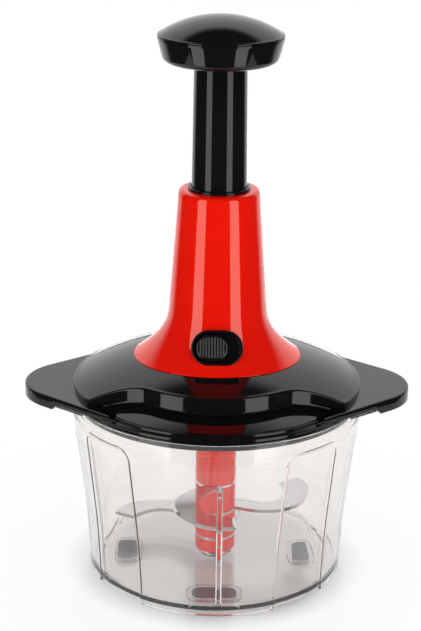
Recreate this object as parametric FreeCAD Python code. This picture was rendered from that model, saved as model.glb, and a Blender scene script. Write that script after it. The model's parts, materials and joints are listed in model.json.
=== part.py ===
import FreeCAD, Part
import math
import os

# Plunger food chopper: a clear bowl with a stacked blade column on a steel pin, closed by a domed lid
# whose tower guides a spring-returned plunger. A twisted strip in the plunger turns the blades.
# Millimetres, +Z up, z = 0 is the table, the ears lie along X and the lock slider faces -Y.

V = FreeCAD.Vector
ORIGIN = V(0, 0, 0)
UP = V(0, 0, 1)

# Shared clearances
RUN_FIT = 0.08            # radial, shaft in its bush
FREE_GAP = 0.4            # between faces that move past each other
SEAT_GAP = 0.3            # between pieces that rest on each other without being fixed
OVERRUN = 20.0            # how far a cutting block runs past what it cuts

# Bowl
BOWL_WALL = 2.4
BOWL_TOP_R = 75.9         # outer radius at the mouth
BOWL_FOOT_R = BOWL_TOP_R - 8.5    # outer radius where the wall meets the foot
BOWL_KNEE_Z = 36.0        # the wall is steep below this height and flares above it
BOWL_KNEE_R = BOWL_FOOT_R + 1.9
BOWL_KNEE_SOFT = 14.0     # the bend is rounded this far above and below
BOWL_FLARE_Z = 88.0       # the wall runs straight up from here
BOWL_FLOOR_Z = 5.0        # top of the floor
BOWL_FLOOR_T = 2.4
RIM_R = BOWL_TOP_R + 0.5  # outside of the bead round the mouth
RIM_TOP_Z = 98.4
RIM_H = 5.2
FOOT_RING_T = 3.0         # radial width of the foot ring
FOOT_LOW_Z = 0.4          # underside of the four low arcs
FOOT_HIGH_Z = 1.9         # underside of the ring between them
FOOT_LOW_HALF = 31.0      # half angle of a low arc, degrees
PATTERN_TURN = -3.5       # the panels and foot arcs sit a little round from the ears
PANEL_DEPTH = 0.7
PANEL_LOW_Z = 4.0
PANEL_TOP_Z = 89.0
PANEL_CORNER_R = 6.0
RIB_W = 3.0               # upright rib inside the wall
RIB_D = 2.2
RIB_TOP_Z = 72.0
RIB_TURN = 1.9            # the front rib sits this far towards +X, degrees
PIN_BOSS_R = 7.5
PIN_BOSS_Z = 7.7
PIN_SEAT = 0.8            # floor left under the pin

# Foot pads
PAD_L = 23.0
PAD_W = 12.0
PAD_RADIUS = BOWL_FOOT_R - 19.4   # distance of each pad's centre from the axis
PAD_CORNER_R = 4.5
PAD_CELL_WALL = 2.7       # wall of the cell that holds a pad
PAD_CELL_CORNER_R = 6.5
PAD_CELL_LOW_Z = 1.0

# Ears, on the bowl and on the lid
EAR_TIP_R = 28.0
EAR_TIP_X = BOWL_TOP_R - 2.9      # centre of the tip arc
EAR_SIDE_TURN = 51.0      # direction of the straight side's normal, degrees from X
EAR_TOP_Z = 103.0
EAR_SKIN = 2.2
EAR_DEEP_Z = 96.3         # bottom of the skirt round the tip
EAR_SHALLOW_Z = 99.5      # bottom of the skirt nearer the lid
EAR_NOTCH_X = EAR_TIP_X + 9.6     # the skirt steps here
EAR_ROOT_X = EAR_TIP_X - 23.0     # the straight sides run in to here
EAR_EDGE = 0.8            # rounding of the top edge
BOWL_EAR_INSET = 4.6
BOWL_EAR_T = 2.4
BOWL_EAR_DROP = 0.5       # top of the bowl's ear below the rim

# Lid
LID_WALL = 2.4
SKIRT_R = RIM_R - 0.2
SKIRT_BOTTOM_Z = RIM_TOP_Z + SEAT_GAP
FIRST_STEP_R = SKIRT_R - 0.8
FIRST_STEP_Z = 99.3
SECOND_STEP_R = SKIRT_R - 2.8
SECOND_STEP_Z = 101.0
BEAD_R = SKIRT_R - 4.4    # rounded bead round the apron
BEAD_Z = 102.9
APRON_LOW_R = BEAD_R - 1.6
APRON_LOW_Z = 102.0
APRON_HIGH_Z = 107.2
BRIM_R = SKIRT_R - 1.0
BRIM_EDGE_R = BRIM_R - 1.7
BRIM_EDGE_Z = 106.5
DOME_TOP_Z = 124.7        # where the dome would cross the axis
DOME_HOLE_R = 20.0
SCALLOP_R = SKIRT_R - 20.7        # front and back walls of the dome
SCALLOP_HALF = 37.0       # half angle of that wall, degrees
SCALLOP_CORNER_R = BRIM_R - 3.0
SCALLOP_CORNER_TURN = 30.8        # direction of the corner from X, degrees
SCALLOP_LEAD = 9.0        # how far the curve follows the wall, and then the corner's line
SCALLOP_EASE = 12.0
APRON_HIGH_R = SCALLOP_R - 1.5
LID_ROOF_Z = 99.6         # underside of the lid's ledge
SEAL_T = 1.6
COLLAR_R = BOWL_TOP_R - BOWL_WALL - SEAT_GAP - SEAL_T     # drops into the bowl, carries the seal
COLLAR_WALL = 1.8
COLLAR_LOW_Z = 94.6

# Inner plate and screws
PLATE_R = COLLAR_R - COLLAR_WALL - SEAT_GAP
PLATE_LOW_Z = 97.0
PLATE_T = 2.5
SCREW_R = 1.6
SCREW_HEAD_R = 3.0
SCREW_HEAD_T = 1.6
LID_SCREW_BITE = 7.0
TOWER_SCREW_L = 10.0
SCREW_SPARE = 5.0         # how far the posts' holes run above the dome
LID_POST_R = 4.0
LID_POST_AT = 46.0
TOWER_POST_X = 26.0
TOWER_POST_Y = 10.0
TOWER_POST_R = 3.0
TOWER_POST_LOW_Z = DOME_TOP_Z - 14.7
TOWER_POST_H = 23.7

# Tower: a slight taper, then a flare to an oval base
TOWER_TOP_Z = 208.0
TOWER_TOP_R = 20.75
TOWER_TAPER = 0.074       # growth of the radius per unit of height
FLARE_TOP_Z = 145.0
FLARE_LOW_Z = 116.5
FLARE_X = 19.7            # widest growth along X
FLARE_Y = 16.2            # widest growth along Y
FLARE_POWER = 2.2
FLARE_STEPS = 9
TOWER_WALL = 2.4
TOWER_TOP_T = 5.0
TOWER_TOP_ROUND = 1.6

# Guide bush in the tower's mouth
BUSH_MOUTH_R = 15.4
BUSH_H = 22.0
BUSH_LOW_Z = TOWER_TOP_Z - BUSH_H
BUSH_LIP_R = 16.0
BUSH_LIP_T = 1.5
BUSH_SNAP_R = 17.9
BUSH_SNAP_T = 2.5

# Plunger and knob
TUBE_R = 14.2
TUBE_TOP_R = 13.3
TUBE_LOW_Z = 168.0
TUBE_TAPER_Z = 210.0      # straight below, tapering above
TUBE_BORE_R = 11.4
TUBE_LEDGE_Z = 240.0
TUBE_UPPER_BORE_R = 9.0
KNOB_TOP_Z = 296.0
KNOB_CAP_H = 10.0
KNOB_RIM_Z = KNOB_TOP_Z - KNOB_CAP_H
KNOB_H = 23.3
KNOB_LOW_Z = KNOB_TOP_Z - KNOB_H
KNOB_RIM_R = 31.6
KNOB_FLARE = 2.8          # the knob is narrower below than at its rim
KNOB_LOW_R = KNOB_RIM_R - KNOB_FLARE
KNOB_CORNER = 4.0
KNOB_WALL = 2.2
KNOB_SOCKET_DEPTH = 9.0
TUBE_TOP_BORE = 5.8       # the tube's bore runs this far into the knob
TUBE_CEILING_Z = KNOB_LOW_Z + TUBE_TOP_BORE
KNOB_PARTING = 0.2
KNOB_CLEAR = 3.2  # left between the knob and the bush when the plunger is down
STROKE = KNOB_LOW_Z - TOWER_TOP_Z - BUSH_LIP_T - KNOB_CLEAR
KNOB_EDGE = 1.0

# Drive: a strip twisted one turn per pitch, turned by a slotted nut on the plunger
TWIST_PITCH = 60.0
STRIP_W = 8.0
STRIP_T = 2.0
STRIP_LOW_Z = 105.0
STRIP_SPARE = 2.5         # left above the strip when the plunger is down
STRIP_TOP_Z = TUBE_CEILING_Z - STROKE - STRIP_SPARE
STRIP_TANG = 3.0
NUT_R = 6.7
NUT_LOW_Z = 170.0
NUT_H = 7.0
CARRIER_WALL = 1.5
CARRIER_FLANGE_T = 2.5
BOSS_R = 7.5
BOSS_LOW_Z = 101.0
JOURNAL_R = 5.0
HEX_AF = 8.0
HEX_LOW_Z = 84.0
HEX_TOP_Z = 96.0
HOUSING_R = 11.2
HOUSING_FLANGE_R = 20.0
HOUSING_FLANGE_T = 2.5
HOUSING_TOP_Z = 106.0
HOUSING_SCREW_AT = 16.0
WASHER_T = 1.0
SPRING_MEAN_R = 9.9
SPRING_WIRE = 1.4
SPRING_TURNS = 13

# Lock on the tower's front, drawn on a plane that leans back from the vertical
LOCK_LEAN = 23.0
LOCK_Y = -30.6
LOCK_Z = 132.8
LOCK_L = 26.4
LOCK_H = 17.9
LOCK_RIM = 1.4
LOCK_PROUD = 0.6
LOCK_DEEP = 4.0
LOCK_FLOOR_T = 1.0
LOCK_TRAVEL = 5.2
SLIDER_RIBS = 9
SLIDER_RIB_W = 0.7
SLIDER_RIB_H = 0.5
STEM_W = 4.0
TONGUE_OUTER_X = 20.0
TONGUE_INNER_X = 16.6
TONGUE_T = 2.4
TONGUE_END_Y = -2.0
TONGUE_BAR_Y = (-25.4, -21.4)

# Blade column: red segments and blades stacked on a steel sleeve
COLUMN_R = 10.8
COLUMN_LOW_Z = 8.0
COLUMN_TOP_Z = 95.0
SLEEVE_R = 6.4
SLEEVE_WALL = 0.9
SLEEVE_TOP_Z = 62.0
BLADE_T = 1.2
BLADE_CLEAR = 2.3  # between the blade tips and the ribs inside the bowl
BLADE_REACH = BOWL_FOOT_R - BOWL_WALL - RIB_D - BLADE_CLEAR
BLADE_Z = (46.0, 30.0, 15.5)
BLADE_ANGLES = (0.0, 120.0, 240.0)
BLADE_NAMES = ("blade_upper", "blade_middle", "blade_lower")
SEGMENT_EDGE = 0.5
COUPLING_R = 7.6
COUPLING_LOW_Z = 80.0
PIN_R = 3.0
PIN_TOP_Z = 45.0
PIN_FIT = 0.06
BUSHING_H = 10.0
BUSHING_LOW_Z = 9.0
BUSHING_HIGH_Z = 33.0

QUARTER_TURN = 90.0
HALF_TURN = 180.0
FULL_TURN = 360.0


def rod(radius, low, high, x=0.0, y=0.0):
    """Upright cylinder between two heights."""
    return Part.makeCylinder(radius, high - low, V(x, y, low), UP)


def ring(inner, outer, low, high):
    """Upright tube between two heights."""
    return rod(outer, low, high).cut(rod(inner, low, high))


def slab(x_low, x_high, y_low, y_high, z_low, z_high):
    """Box between two corners."""
    return Part.makeBox(x_high - x_low, y_high - y_low, z_high - z_low, V(x_low, y_low, z_low))


def turned(shape, angle):
    """Copy of a shape turned about the upright axis, in degrees."""
    copy = shape.copy()
    copy.rotate(ORIGIN, UP, angle)
    return copy


def at_angle(radius, angle):
    """Point at a radius and an angle from +X, in the XY plane."""
    rad = math.radians(angle)
    return V(radius * math.cos(rad), radius * math.sin(rad), 0)


def path_edges(points, lift):
    """Edges through the points; a pair of points is the middle and end of an arc."""
    edges = []
    here = lift(points[0])
    for step in points[1:] + [points[0]]:
        if isinstance(step[0], tuple):
            middle, end = lift(step[0]), lift(step[1])
            edges.append(Part.Arc(here, middle, end).toShape())
        else:
            end = lift(step)
            if here.distanceToPoint(end) > 1e-6:
                edges.append(Part.LineSegment(here, end).toShape())
        here = end
    return edges


def spun(points):
    """Solid turned about the axis from an outline of (radius, height) points."""
    face = Part.Face(Part.Wire(path_edges(points, lambda p: V(p[0], 0, p[1]))))
    return face.revolve(ORIGIN, UP, FULL_TURN)


def plate(points, low, high):
    """Flat plate from an outline of (x, y) points, between two heights."""
    face = Part.Face(Part.Wire(path_edges(points, lambda p: V(p[0], p[1], low))))
    return face.extrude(V(0, 0, high - low))


def rounded_slab(length, width, corner, low, high):
    """Upright block with rounded corners, centred on the axis."""
    block = slab(-length / 2, length / 2, -width / 2, width / 2, low, high)
    upright = [e for e in block.Edges if abs(e.tangentAt(e.FirstParameter).z) > 0.9]
    return block.makeFillet(corner, upright)


def stadium(length, height, low, high, x=0.0):
    """Flat plate with half-round ends, its long side along X."""
    radius = height / 2
    straight = length / 2 - radius
    outline = [(x - straight, -radius), (x + straight, -radius),
               ((x + straight + radius, 0.0), (x + straight, radius)),
               (x - straight, radius), ((x - straight - radius, 0.0), (x - straight, -radius))]
    return plate(outline, low, high)


def hexagon(across_flats, low, high):
    """Upright hexagonal bar."""
    corner = across_flats / math.sqrt(3)
    points = [tuple(at_angle(corner, 60 * i + 30))[:2] for i in range(6)]
    return plate(points, low, high)


def sector(half_angle, centre, reach, low, high):
    """Wedge about the axis, for cutting a ring into arcs."""
    first, middle, last = (at_angle(reach, centre + a) for a in (-half_angle, 0, half_angle))
    outline = [(0.0, 0.0), (first.x, first.y), ((middle.x, middle.y), (last.x, last.y))]
    return plate(outline, low, high)


# Bowl

def between(z, low, high):
    """Radius at a height on the line between two (radius, height) points."""
    share = (z - low[1]) / (high[1] - low[1])
    return low[0] + (high[0] - low[0]) * share


def bowl_side(shrink, low, high):
    """Turned block as wide as the bowl's wall, less a shrink, between two heights."""
    foot, knee = (BOWL_FOOT_R, BOWL_FLOOR_Z), (BOWL_KNEE_R, BOWL_KNEE_Z)
    top = (BOWL_TOP_R, BOWL_FLARE_Z)
    soft = BOWL_KNEE_SOFT
    first = between(knee[1] - soft, foot, knee)
    last = between(knee[1] + soft, knee, top)
    middle = (first + last) / 4 + knee[0] / 2
    points = [(0.0, low), (between(low, foot, knee) - shrink, low),
              (first - shrink, knee[1] - soft),
              ((middle - shrink, knee[1]), (last - shrink, knee[1] + soft)),
              (top[0] - shrink, top[1]), (top[0] - shrink, high), (0.0, high)]
    return spun(points)


def ear_plate(inset, z_low, z_high):
    """Ear on the +X side as a plate, its edge set in from the lid's ear."""
    side = math.radians(EAR_SIDE_TURN)
    tip_r = EAR_TIP_R - inset
    touch = (EAR_TIP_X + tip_r * math.cos(side), tip_r * math.sin(side))
    run = (touch[0] - EAR_ROOT_X) / math.sin(side)
    root = (EAR_ROOT_X, touch[1] + run * math.cos(side))
    outline = [(root[0], -root[1]), (touch[0], -touch[1]),
               ((EAR_TIP_X + tip_r, 0.0), touch), root]
    return plate(outline, z_low, z_high)


def both_ears(shape):
    """The shape and its copy on the other side."""
    return shape.fuse(turned(shape, HALF_TURN))


def bowl_panels():
    """Four shallow recesses between the low foot arcs."""
    skin = bowl_side(-PANEL_DEPTH, BOWL_FLOOR_Z - 1.0, RIM_TOP_Z)
    skin = skin.cut(bowl_side(PANEL_DEPTH, BOWL_FLOOR_Z - 1.0, RIM_TOP_Z))
    half = QUARTER_TURN / 2 - FOOT_LOW_HALF
    width = 2 * BOWL_KNEE_R * math.sin(math.radians(half))
    tall = 2 * (PANEL_TOP_Z - PANEL_LOW_Z)
    window = rounded_slab(width, tall, PANEL_CORNER_R, 0.0, BOWL_TOP_R + OVERRUN)
    window.rotate(ORIGIN, V(1, 0, 0), 90)
    window.translate(V(0, 0, PANEL_LOW_Z))
    window = window.common(slab(-width, width, -BOWL_TOP_R - OVERRUN, 0, PANEL_LOW_Z, PANEL_TOP_Z))
    first = PATTERN_TURN + QUARTER_TURN / 2
    return [turned(skin.common(window), first + QUARTER_TURN * i) for i in range(4)]


def pad_frames():
    """Angle of each foot pad about the axis."""
    return {"front": 270.0, "right": 0.0, "back": 90.0, "left": 180.0}


def placed_pad(shape, angle):
    """A shape drawn with its long side along X, moved under the bowl at an angle."""
    copy = shape.copy()
    copy.translate(V(0, -PAD_RADIUS, 0))
    return turned(copy, angle + 90)


def make_bowl():
    floor_low = BOWL_FLOOR_Z - BOWL_FLOOR_T
    body = bowl_side(0.0, floor_low, RIM_TOP_Z).fuse(rod(RIM_R, RIM_TOP_Z - RIM_H, RIM_TOP_Z))
    ear_top = RIM_TOP_Z - BOWL_EAR_DROP
    body = body.fuse(both_ears(ear_plate(BOWL_EAR_INSET, ear_top - BOWL_EAR_T, ear_top)))
    body = body.cut(bowl_side(BOWL_WALL, BOWL_FLOOR_Z, RIM_TOP_Z + 1.0))
    foot = ring(BOWL_FOOT_R - FOOT_RING_T, BOWL_FOOT_R - 0.8, FOOT_HIGH_Z, floor_low)
    low_arc = ring(BOWL_FOOT_R - FOOT_RING_T, BOWL_FOOT_R, FOOT_LOW_Z, floor_low)
    arcs = [low_arc.common(sector(FOOT_LOW_HALF, PATTERN_TURN + QUARTER_TURN * i,
                                  BOWL_FOOT_R + OVERRUN, 0.0, BOWL_FLOOR_Z)) for i in range(4)]
    cell = rounded_slab(PAD_L + 2 * PAD_CELL_WALL, PAD_W + 2 * PAD_CELL_WALL,
                        PAD_CELL_CORNER_R, PAD_CELL_LOW_Z, floor_low)
    cell = cell.cut(rounded_slab(PAD_L, PAD_W, PAD_CORNER_R, 0.0, floor_low))
    cells = [placed_pad(cell, angle) for angle in pad_frames().values()]
    rib_in = BOWL_FOOT_R - BOWL_WALL - RIB_D
    rib = slab(-RIB_W / 2, RIB_W / 2, -BOWL_TOP_R, -rib_in, BOWL_FLOOR_Z, RIB_TOP_Z)
    rib = rib.common(bowl_side(BOWL_WALL / 2, BOWL_FLOOR_Z, RIM_TOP_Z))
    body = body.fuse([foot, rod(PIN_BOSS_R, floor_low, PIN_BOSS_Z), turned(rib, RIB_TURN),
                      turned(rib, RIB_TURN + HALF_TURN)]
                     + arcs + cells)
    for panel in bowl_panels():
        body = body.cut(panel)
    body = body.cut(rod(PIN_R, floor_low + PIN_SEAT, PIN_BOSS_Z + 1.0))
    return body.removeSplitter()


def make_pads():
    pads = {}
    floor_low = BOWL_FLOOR_Z - BOWL_FLOOR_T
    pad = rounded_slab(PAD_L, PAD_W, PAD_CORNER_R, 0.0, floor_low)
    for name, angle in pad_frames().items():
        pads["foot_pad_" + name] = placed_pad(pad, angle)
    return pads


def make_pivot_pin():
    pin = rod(PIN_R, BOWL_FLOOR_Z - BOWL_FLOOR_T + PIN_SEAT, PIN_TOP_Z)
    top = [e for e in pin.Edges if e.BoundBox.ZMin > PIN_TOP_Z - 0.01]
    return pin.makeChamfer(0.8, top)


# Blade column

def blade_outline():
    """One curved blade that reaches out along -Y and hooks towards +X, in shares of its reach."""
    shares = [(-0.1, -0.12), ((-0.37, -0.5), (-0.165, -0.92)), ((0.0, -1.0), (0.18, -0.98)),
              (0.165, -0.77), ((-0.05, -0.69), (-0.14, -0.53)), ((-0.09, -0.33), (0.1, -0.13))]

    def sized(share):
        if isinstance(share[0], tuple):
            return tuple(sized(one) for one in share)
        return share[0] * BLADE_REACH, share[1] * BLADE_REACH

    return [sized(share) for share in shares]


def make_blades():
    blades = {}
    for name, z, angle in zip(BLADE_NAMES, BLADE_Z, BLADE_ANGLES):
        blade = plate(blade_outline(), z, z + BLADE_T).fuse(rod(COLUMN_R - 0.2, z, z + BLADE_T))
        blade = blade.cut(rod(SLEEVE_R, z - 1, z + BLADE_T + 1)).removeSplitter()
        blades[name] = turned(blade, angle)
    return blades


def segment(low, high):
    """Red ring of the column with softened edges, on the sleeve."""
    block = rod(COLUMN_R, low, high)
    rims = [e for e in block.Edges if isinstance(e.Curve, Part.Circle)]
    return block.makeChamfer(SEGMENT_EDGE, rims)


def make_column():
    upper, middle, lower = BLADE_Z
    bore = rod(SLEEVE_R, COLUMN_LOW_Z - 1, SLEEVE_TOP_Z)
    socket = rod(COUPLING_R, COUPLING_LOW_Z, COLUMN_TOP_Z + 1)
    pieces = {
        "column_upper": segment(upper + BLADE_T, COLUMN_TOP_Z).cut(bore).cut(socket),
        "column_spacer_upper": segment(middle + BLADE_T, upper).cut(bore),
        "column_spacer_lower": segment(lower + BLADE_T, middle).cut(bore),
        "column_foot": segment(COLUMN_LOW_Z, lower).cut(bore),
    }
    sleeve_in = SLEEVE_R - SLEEVE_WALL
    pieces["column_sleeve"] = ring(sleeve_in, SLEEVE_R, COLUMN_LOW_Z, SLEEVE_TOP_Z)
    bushing = ring(PIN_R + PIN_FIT, sleeve_in, 0, BUSHING_H)
    for name, low in (("pivot_bush_lower", BUSHING_LOW_Z), ("pivot_bush_upper", BUSHING_HIGH_Z)):
        copy = bushing.copy()
        copy.translate(V(0, 0, low))
        pieces[name] = copy
    coupling = rod(COUPLING_R, COUPLING_LOW_Z, COLUMN_TOP_Z)
    hollow = hexagon(HEX_AF + 2 * SEAT_GAP, HEX_LOW_Z - 1.0, COLUMN_TOP_Z + 1)
    pieces["drive_socket"] = coupling.cut(hollow)
    return pieces


# Lid

def dome_height(radius, drop=0.0):
    """Height of the dome at a radius, lowered by a wall if asked."""
    rise = DOME_TOP_Z - BRIM_EDGE_Z
    sphere = (BRIM_EDGE_R ** 2 + rise ** 2) / (2 * rise)
    return DOME_TOP_Z - sphere + math.sqrt((sphere - drop) ** 2 - radius ** 2)


def dome_block(shrink, low):
    """Solid dome down to a height, smaller all over by a shrink."""
    edge_r = BRIM_EDGE_R - shrink
    middle_r = edge_r * 0.6
    edge_z = dome_height(edge_r, shrink)
    side_r = BRIM_R - shrink
    corner = (edge_r + (side_r - edge_r) * 0.75, edge_z - (side_r - edge_r) * 0.45)
    points = [(0.0, low), (side_r, low), (side_r, edge_z - (side_r - edge_r) * 1.4),
              (corner, (edge_r, edge_z)),
              ((middle_r, dome_height(middle_r, shrink)), (0.0, dome_height(0.0, shrink)))]
    return spun(points)


def scallop_keep(shrink):
    """Plan of the dome between its front and back scallops, as a tall block."""
    wall_r = SCALLOP_R - shrink
    reach = BRIM_R + OVERRUN
    corner = at_angle(SCALLOP_CORNER_R, SCALLOP_CORNER_TURN)
    corner_x, corner_y = corner.x - shrink, corner.y - shrink
    inner = at_angle(wall_r, 90 - SCALLOP_HALF)
    lead = at_angle(SCALLOP_LEAD, -SCALLOP_HALF)
    curve = Part.BezierCurve()
    curve.setPoles([inner, inner + lead, V(corner_x - SCALLOP_EASE, corner_y, 0),
                    V(corner_x, corner_y, 0)])
    s_edge = curve.toShape()
    mirror_x = s_edge.mirror(ORIGIN, V(1, 0, 0))
    arc = Part.Arc(inner, V(0, wall_r, 0), V(-inner.x, inner.y, 0)).toShape()
    back = [s_edge, mirror_x, arc]
    front = [edge.mirror(ORIGIN, V(0, 1, 0)) for edge in back]
    sides = []
    for sign in (1, -1):
        corners = [V(sign * corner_x, corner_y, 0), V(sign * reach, corner_y, 0),
                   V(sign * reach, -corner_y, 0), V(sign * corner_x, -corner_y, 0)]
        sides += [Part.LineSegment(a, b).toShape() for a, b in zip(corners, corners[1:])]
    outline = Part.Wire(Part.__sortEdges__(back + front + sides))
    return Part.Face(outline).extrude(V(0, 0, DOME_TOP_Z + OVERRUN))


def lid_base():
    """Collar, stepped skirt and apron, as a solid block."""
    return spun([
        (0.0, COLLAR_LOW_Z), (COLLAR_R, COLLAR_LOW_Z), (COLLAR_R, SKIRT_BOTTOM_Z),
        (SKIRT_R, SKIRT_BOTTOM_Z), (SKIRT_R, FIRST_STEP_Z), (FIRST_STEP_R, FIRST_STEP_Z + 0.4),
        (FIRST_STEP_R, SECOND_STEP_Z), (SECOND_STEP_R, SECOND_STEP_Z + 0.6),
        (SECOND_STEP_R, BEAD_Z - 0.6), ((BEAD_R + 0.9, BEAD_Z - 0.1), (BEAD_R, BEAD_Z)),
        (APRON_LOW_R, APRON_LOW_Z), (APRON_HIGH_R, APRON_HIGH_Z), (0.0, APRON_HIGH_Z)])


def lid_base_hollow():
    """Room inside the collar and under the apron."""
    inner = COLLAR_R - COLLAR_WALL
    return spun([
        (0.0, COLLAR_LOW_Z - 1), (inner, COLLAR_LOW_Z - 1), (inner, LID_ROOF_Z),
        (APRON_HIGH_R, APRON_HIGH_Z - LID_WALL), (0.0, APRON_HIGH_Z - LID_WALL)])


def lid_ear():
    """Flat ear with a skirt that steps down round the tip."""
    top_low = EAR_TOP_Z - EAR_SKIN
    outer = ear_plate(0.0, EAR_DEEP_Z, EAR_TOP_Z)
    under = ear_plate(EAR_SKIN, EAR_DEEP_Z - 1, top_low)
    wide = EAR_TIP_X + EAR_TIP_R
    shallow = slab(0, EAR_NOTCH_X, -wide, wide, EAR_DEEP_Z - 1, EAR_SHALLOW_Z)
    ear = outer.cut(under.fuse(shallow))
    top = [e for e in ear.Edges if e.BoundBox.ZMin > EAR_TOP_Z - 0.01]
    ear = ear.makeFillet(EAR_EDGE, [e for e in top if e.BoundBox.XMax > EAR_ROOT_X + 0.1])
    ear = ear.cut(rod(RIM_R + FREE_GAP, EAR_DEEP_Z - 1, SKIRT_BOTTOM_Z))
    return ear.cut(rod(SECOND_STEP_R, EAR_DEEP_Z - 1, EAR_TOP_Z + 1))


def lid_post_spots():
    return [at_angle(LID_POST_AT, QUARTER_TURN * (i + 0.5)) for i in range(4)]


def tower_post_spots():
    return [V(x * TOWER_POST_X, y * TOWER_POST_Y, 0) for x in (1, -1) for y in (1, -1)]


def make_lid():
    plate_top = PLATE_LOW_Z + PLATE_T
    dome = dome_block(0.0, APRON_LOW_Z - 2.0).common(scallop_keep(0.0))
    outer = lid_base().fuse(dome).fuse(both_ears(lid_ear()))
    hollow = dome_block(LID_WALL, LID_ROOF_Z - 1.0).common(scallop_keep(LID_WALL))
    hollow = hollow.common(rod(COLLAR_R - COLLAR_WALL, LID_ROOF_Z - 1.0, DOME_TOP_Z))
    lid = outer.cut(hollow.fuse(lid_base_hollow()))
    posts = [rod(LID_POST_R, plate_top, dome_height(LID_POST_AT) - 1.0, p.x, p.y)
             for p in lid_post_spots()]
    lid = lid.fuse(posts).cut(rod(DOME_HOLE_R, LID_ROOF_Z, DOME_TOP_Z + 1))
    for p in lid_post_spots():
        lid = lid.cut(rod(SCREW_R, plate_top - 1, plate_top + LID_SCREW_BITE + 1, p.x, p.y))
    for p in tower_post_spots():
        lid = lid.cut(rod(SCREW_R, plate_top + 8, DOME_TOP_Z + 1, p.x, p.y))
    return lid.removeSplitter()


def make_inner_plate():
    top = PLATE_LOW_Z + PLATE_T
    body = rod(PLATE_R, PLATE_LOW_Z, top)
    body = body.cut(rod(BOSS_R, PLATE_LOW_Z - 1, top + 1))
    for p in lid_post_spots():
        body = body.cut(rod(SCREW_R, PLATE_LOW_Z - 1, top + 1, p.x, p.y))
    for p in housing_screw_spots():
        body = body.cut(rod(SCREW_R, PLATE_LOW_Z - 1, top + 1, p.x, p.y))
    return body


def make_seal():
    """Soft ring with two lips round the collar, just clear of the bowl's wall."""
    outer = COLLAR_R + SEAL_T
    valley = (COLLAR_R + outer) / 2
    low, high = COLLAR_LOW_Z + 0.4, SKIRT_BOTTOM_Z
    lip = (high - low) / 4
    return spun([(COLLAR_R, low), (outer, low), (outer, low + lip), (valley, low + 1.5 * lip),
                 (valley, high - 1.5 * lip), (outer, high - lip), (outer, high), (COLLAR_R, high)])


def screw(point, seat, head_up, depth):
    """Pan head screw; the head stands up or hangs down from its seat."""
    sign = 1 if head_up else -1
    head_z = sorted((seat, seat + sign * SCREW_HEAD_T))
    shank_z = sorted((seat, seat - sign * depth))
    head = rod(SCREW_HEAD_R, head_z[0], head_z[1], point.x, point.y)
    shank = rod(SCREW_R, shank_z[0], shank_z[1], point.x, point.y)
    return head.fuse(shank).removeSplitter()


def housing_screw_spots():
    return [at_angle(HOUSING_SCREW_AT, 90 + 120 * i) for i in range(3)]


def make_screws():
    lid = [screw(p, PLATE_LOW_Z, False, PLATE_T + LID_SCREW_BITE) for p in lid_post_spots()]
    seat = PLATE_LOW_Z + PLATE_T + HOUSING_FLANGE_T
    housing = [screw(p, seat, True, HOUSING_FLANGE_T + PLATE_T) for p in housing_screw_spots()]
    spot = tower_post_spots()[0]
    low = dome_height(math.hypot(spot.x, spot.y) + SCREW_HEAD_R, LID_WALL)
    tower = [screw(p, low, False, TOWER_SCREW_L) for p in tower_post_spots()]
    return {"lid_screws": Part.makeCompound(lid), "housing_screws": Part.makeCompound(housing),
            "tower_screws": Part.makeCompound(tower)}


# Tower, bush and lock

def tower_half_widths(z, shrink=0.0):
    """Half widths of the tower along X and Y at a height."""
    plain = TOWER_TOP_R + TOWER_TAPER * (TOWER_TOP_Z - z) - shrink
    share = max(0.0, (FLARE_TOP_Z - z) / (FLARE_TOP_Z - FLARE_LOW_Z)) ** FLARE_POWER
    return plain + FLARE_X * share, plain + FLARE_Y * share


def tower_block(shrink):
    """Tapered body on a smooth oval flare, smaller all over by a shrink."""
    neck_r = tower_half_widths(FLARE_TOP_Z, shrink)[0]
    neck = spun([(0.0, FLARE_TOP_Z), (neck_r, FLARE_TOP_Z),
                 (TOWER_TOP_R - shrink, TOWER_TOP_Z), (0.0, TOWER_TOP_Z)])
    wires = [Part.Wire([Part.Circle(V(0, 0, FLARE_TOP_Z), UP, neck_r).toShape()])]
    for i in range(1, FLARE_STEPS + 1):
        z = FLARE_TOP_Z + (FLARE_LOW_Z - FLARE_TOP_Z) * i / FLARE_STEPS
        curve = Part.Ellipse(V(0, 0, z), *tower_half_widths(z, shrink))
        wires.append(Part.Wire([curve.toShape()]))
    return neck.fuse(Part.makeLoft(wires, True, False))


def on_lock_plane(shape):
    """Moves a shape drawn flat to the leaning plane of the lock."""
    copy = shape.copy()
    turn = FreeCAD.Rotation(V(1, 0, 0), 90 - LOCK_LEAN)
    copy.Placement = FreeCAD.Placement(V(0, LOCK_Y, LOCK_Z), turn)
    return copy


def make_tower():
    top = TOWER_TOP_Z
    outer = tower_block(0.0)
    crown = [e for e in outer.Edges if e.BoundBox.ZMin > top - 0.01]
    outer = outer.makeFillet(TOWER_TOP_ROUND, crown)
    inner = tower_block(TOWER_WALL)
    inner = inner.cut(rod(TOWER_TOP_R + OVERRUN, top - TOWER_TOP_T, top + 1))
    body = outer.cut(inner).cut(rod(BUSH_MOUTH_R, top - TOWER_TOP_T - 1, top + 1))
    posts = [rod(TOWER_POST_R, TOWER_POST_LOW_Z, TOWER_POST_LOW_Z + TOWER_POST_H, p.x, p.y)
             for p in tower_post_spots()]
    body = body.fuse(posts).common(outer).cut(dome_block(0.0, COLLAR_LOW_Z))
    for p in tower_post_spots():
        body = body.cut(rod(SCREW_R, TOWER_POST_LOW_Z, DOME_TOP_Z + SCREW_SPARE, p.x, p.y))
    window = on_lock_plane(stadium(LOCK_L, LOCK_H, -LOCK_DEEP * 3, LOCK_DEEP * 2))
    return body.cut(window).removeSplitter()


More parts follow.
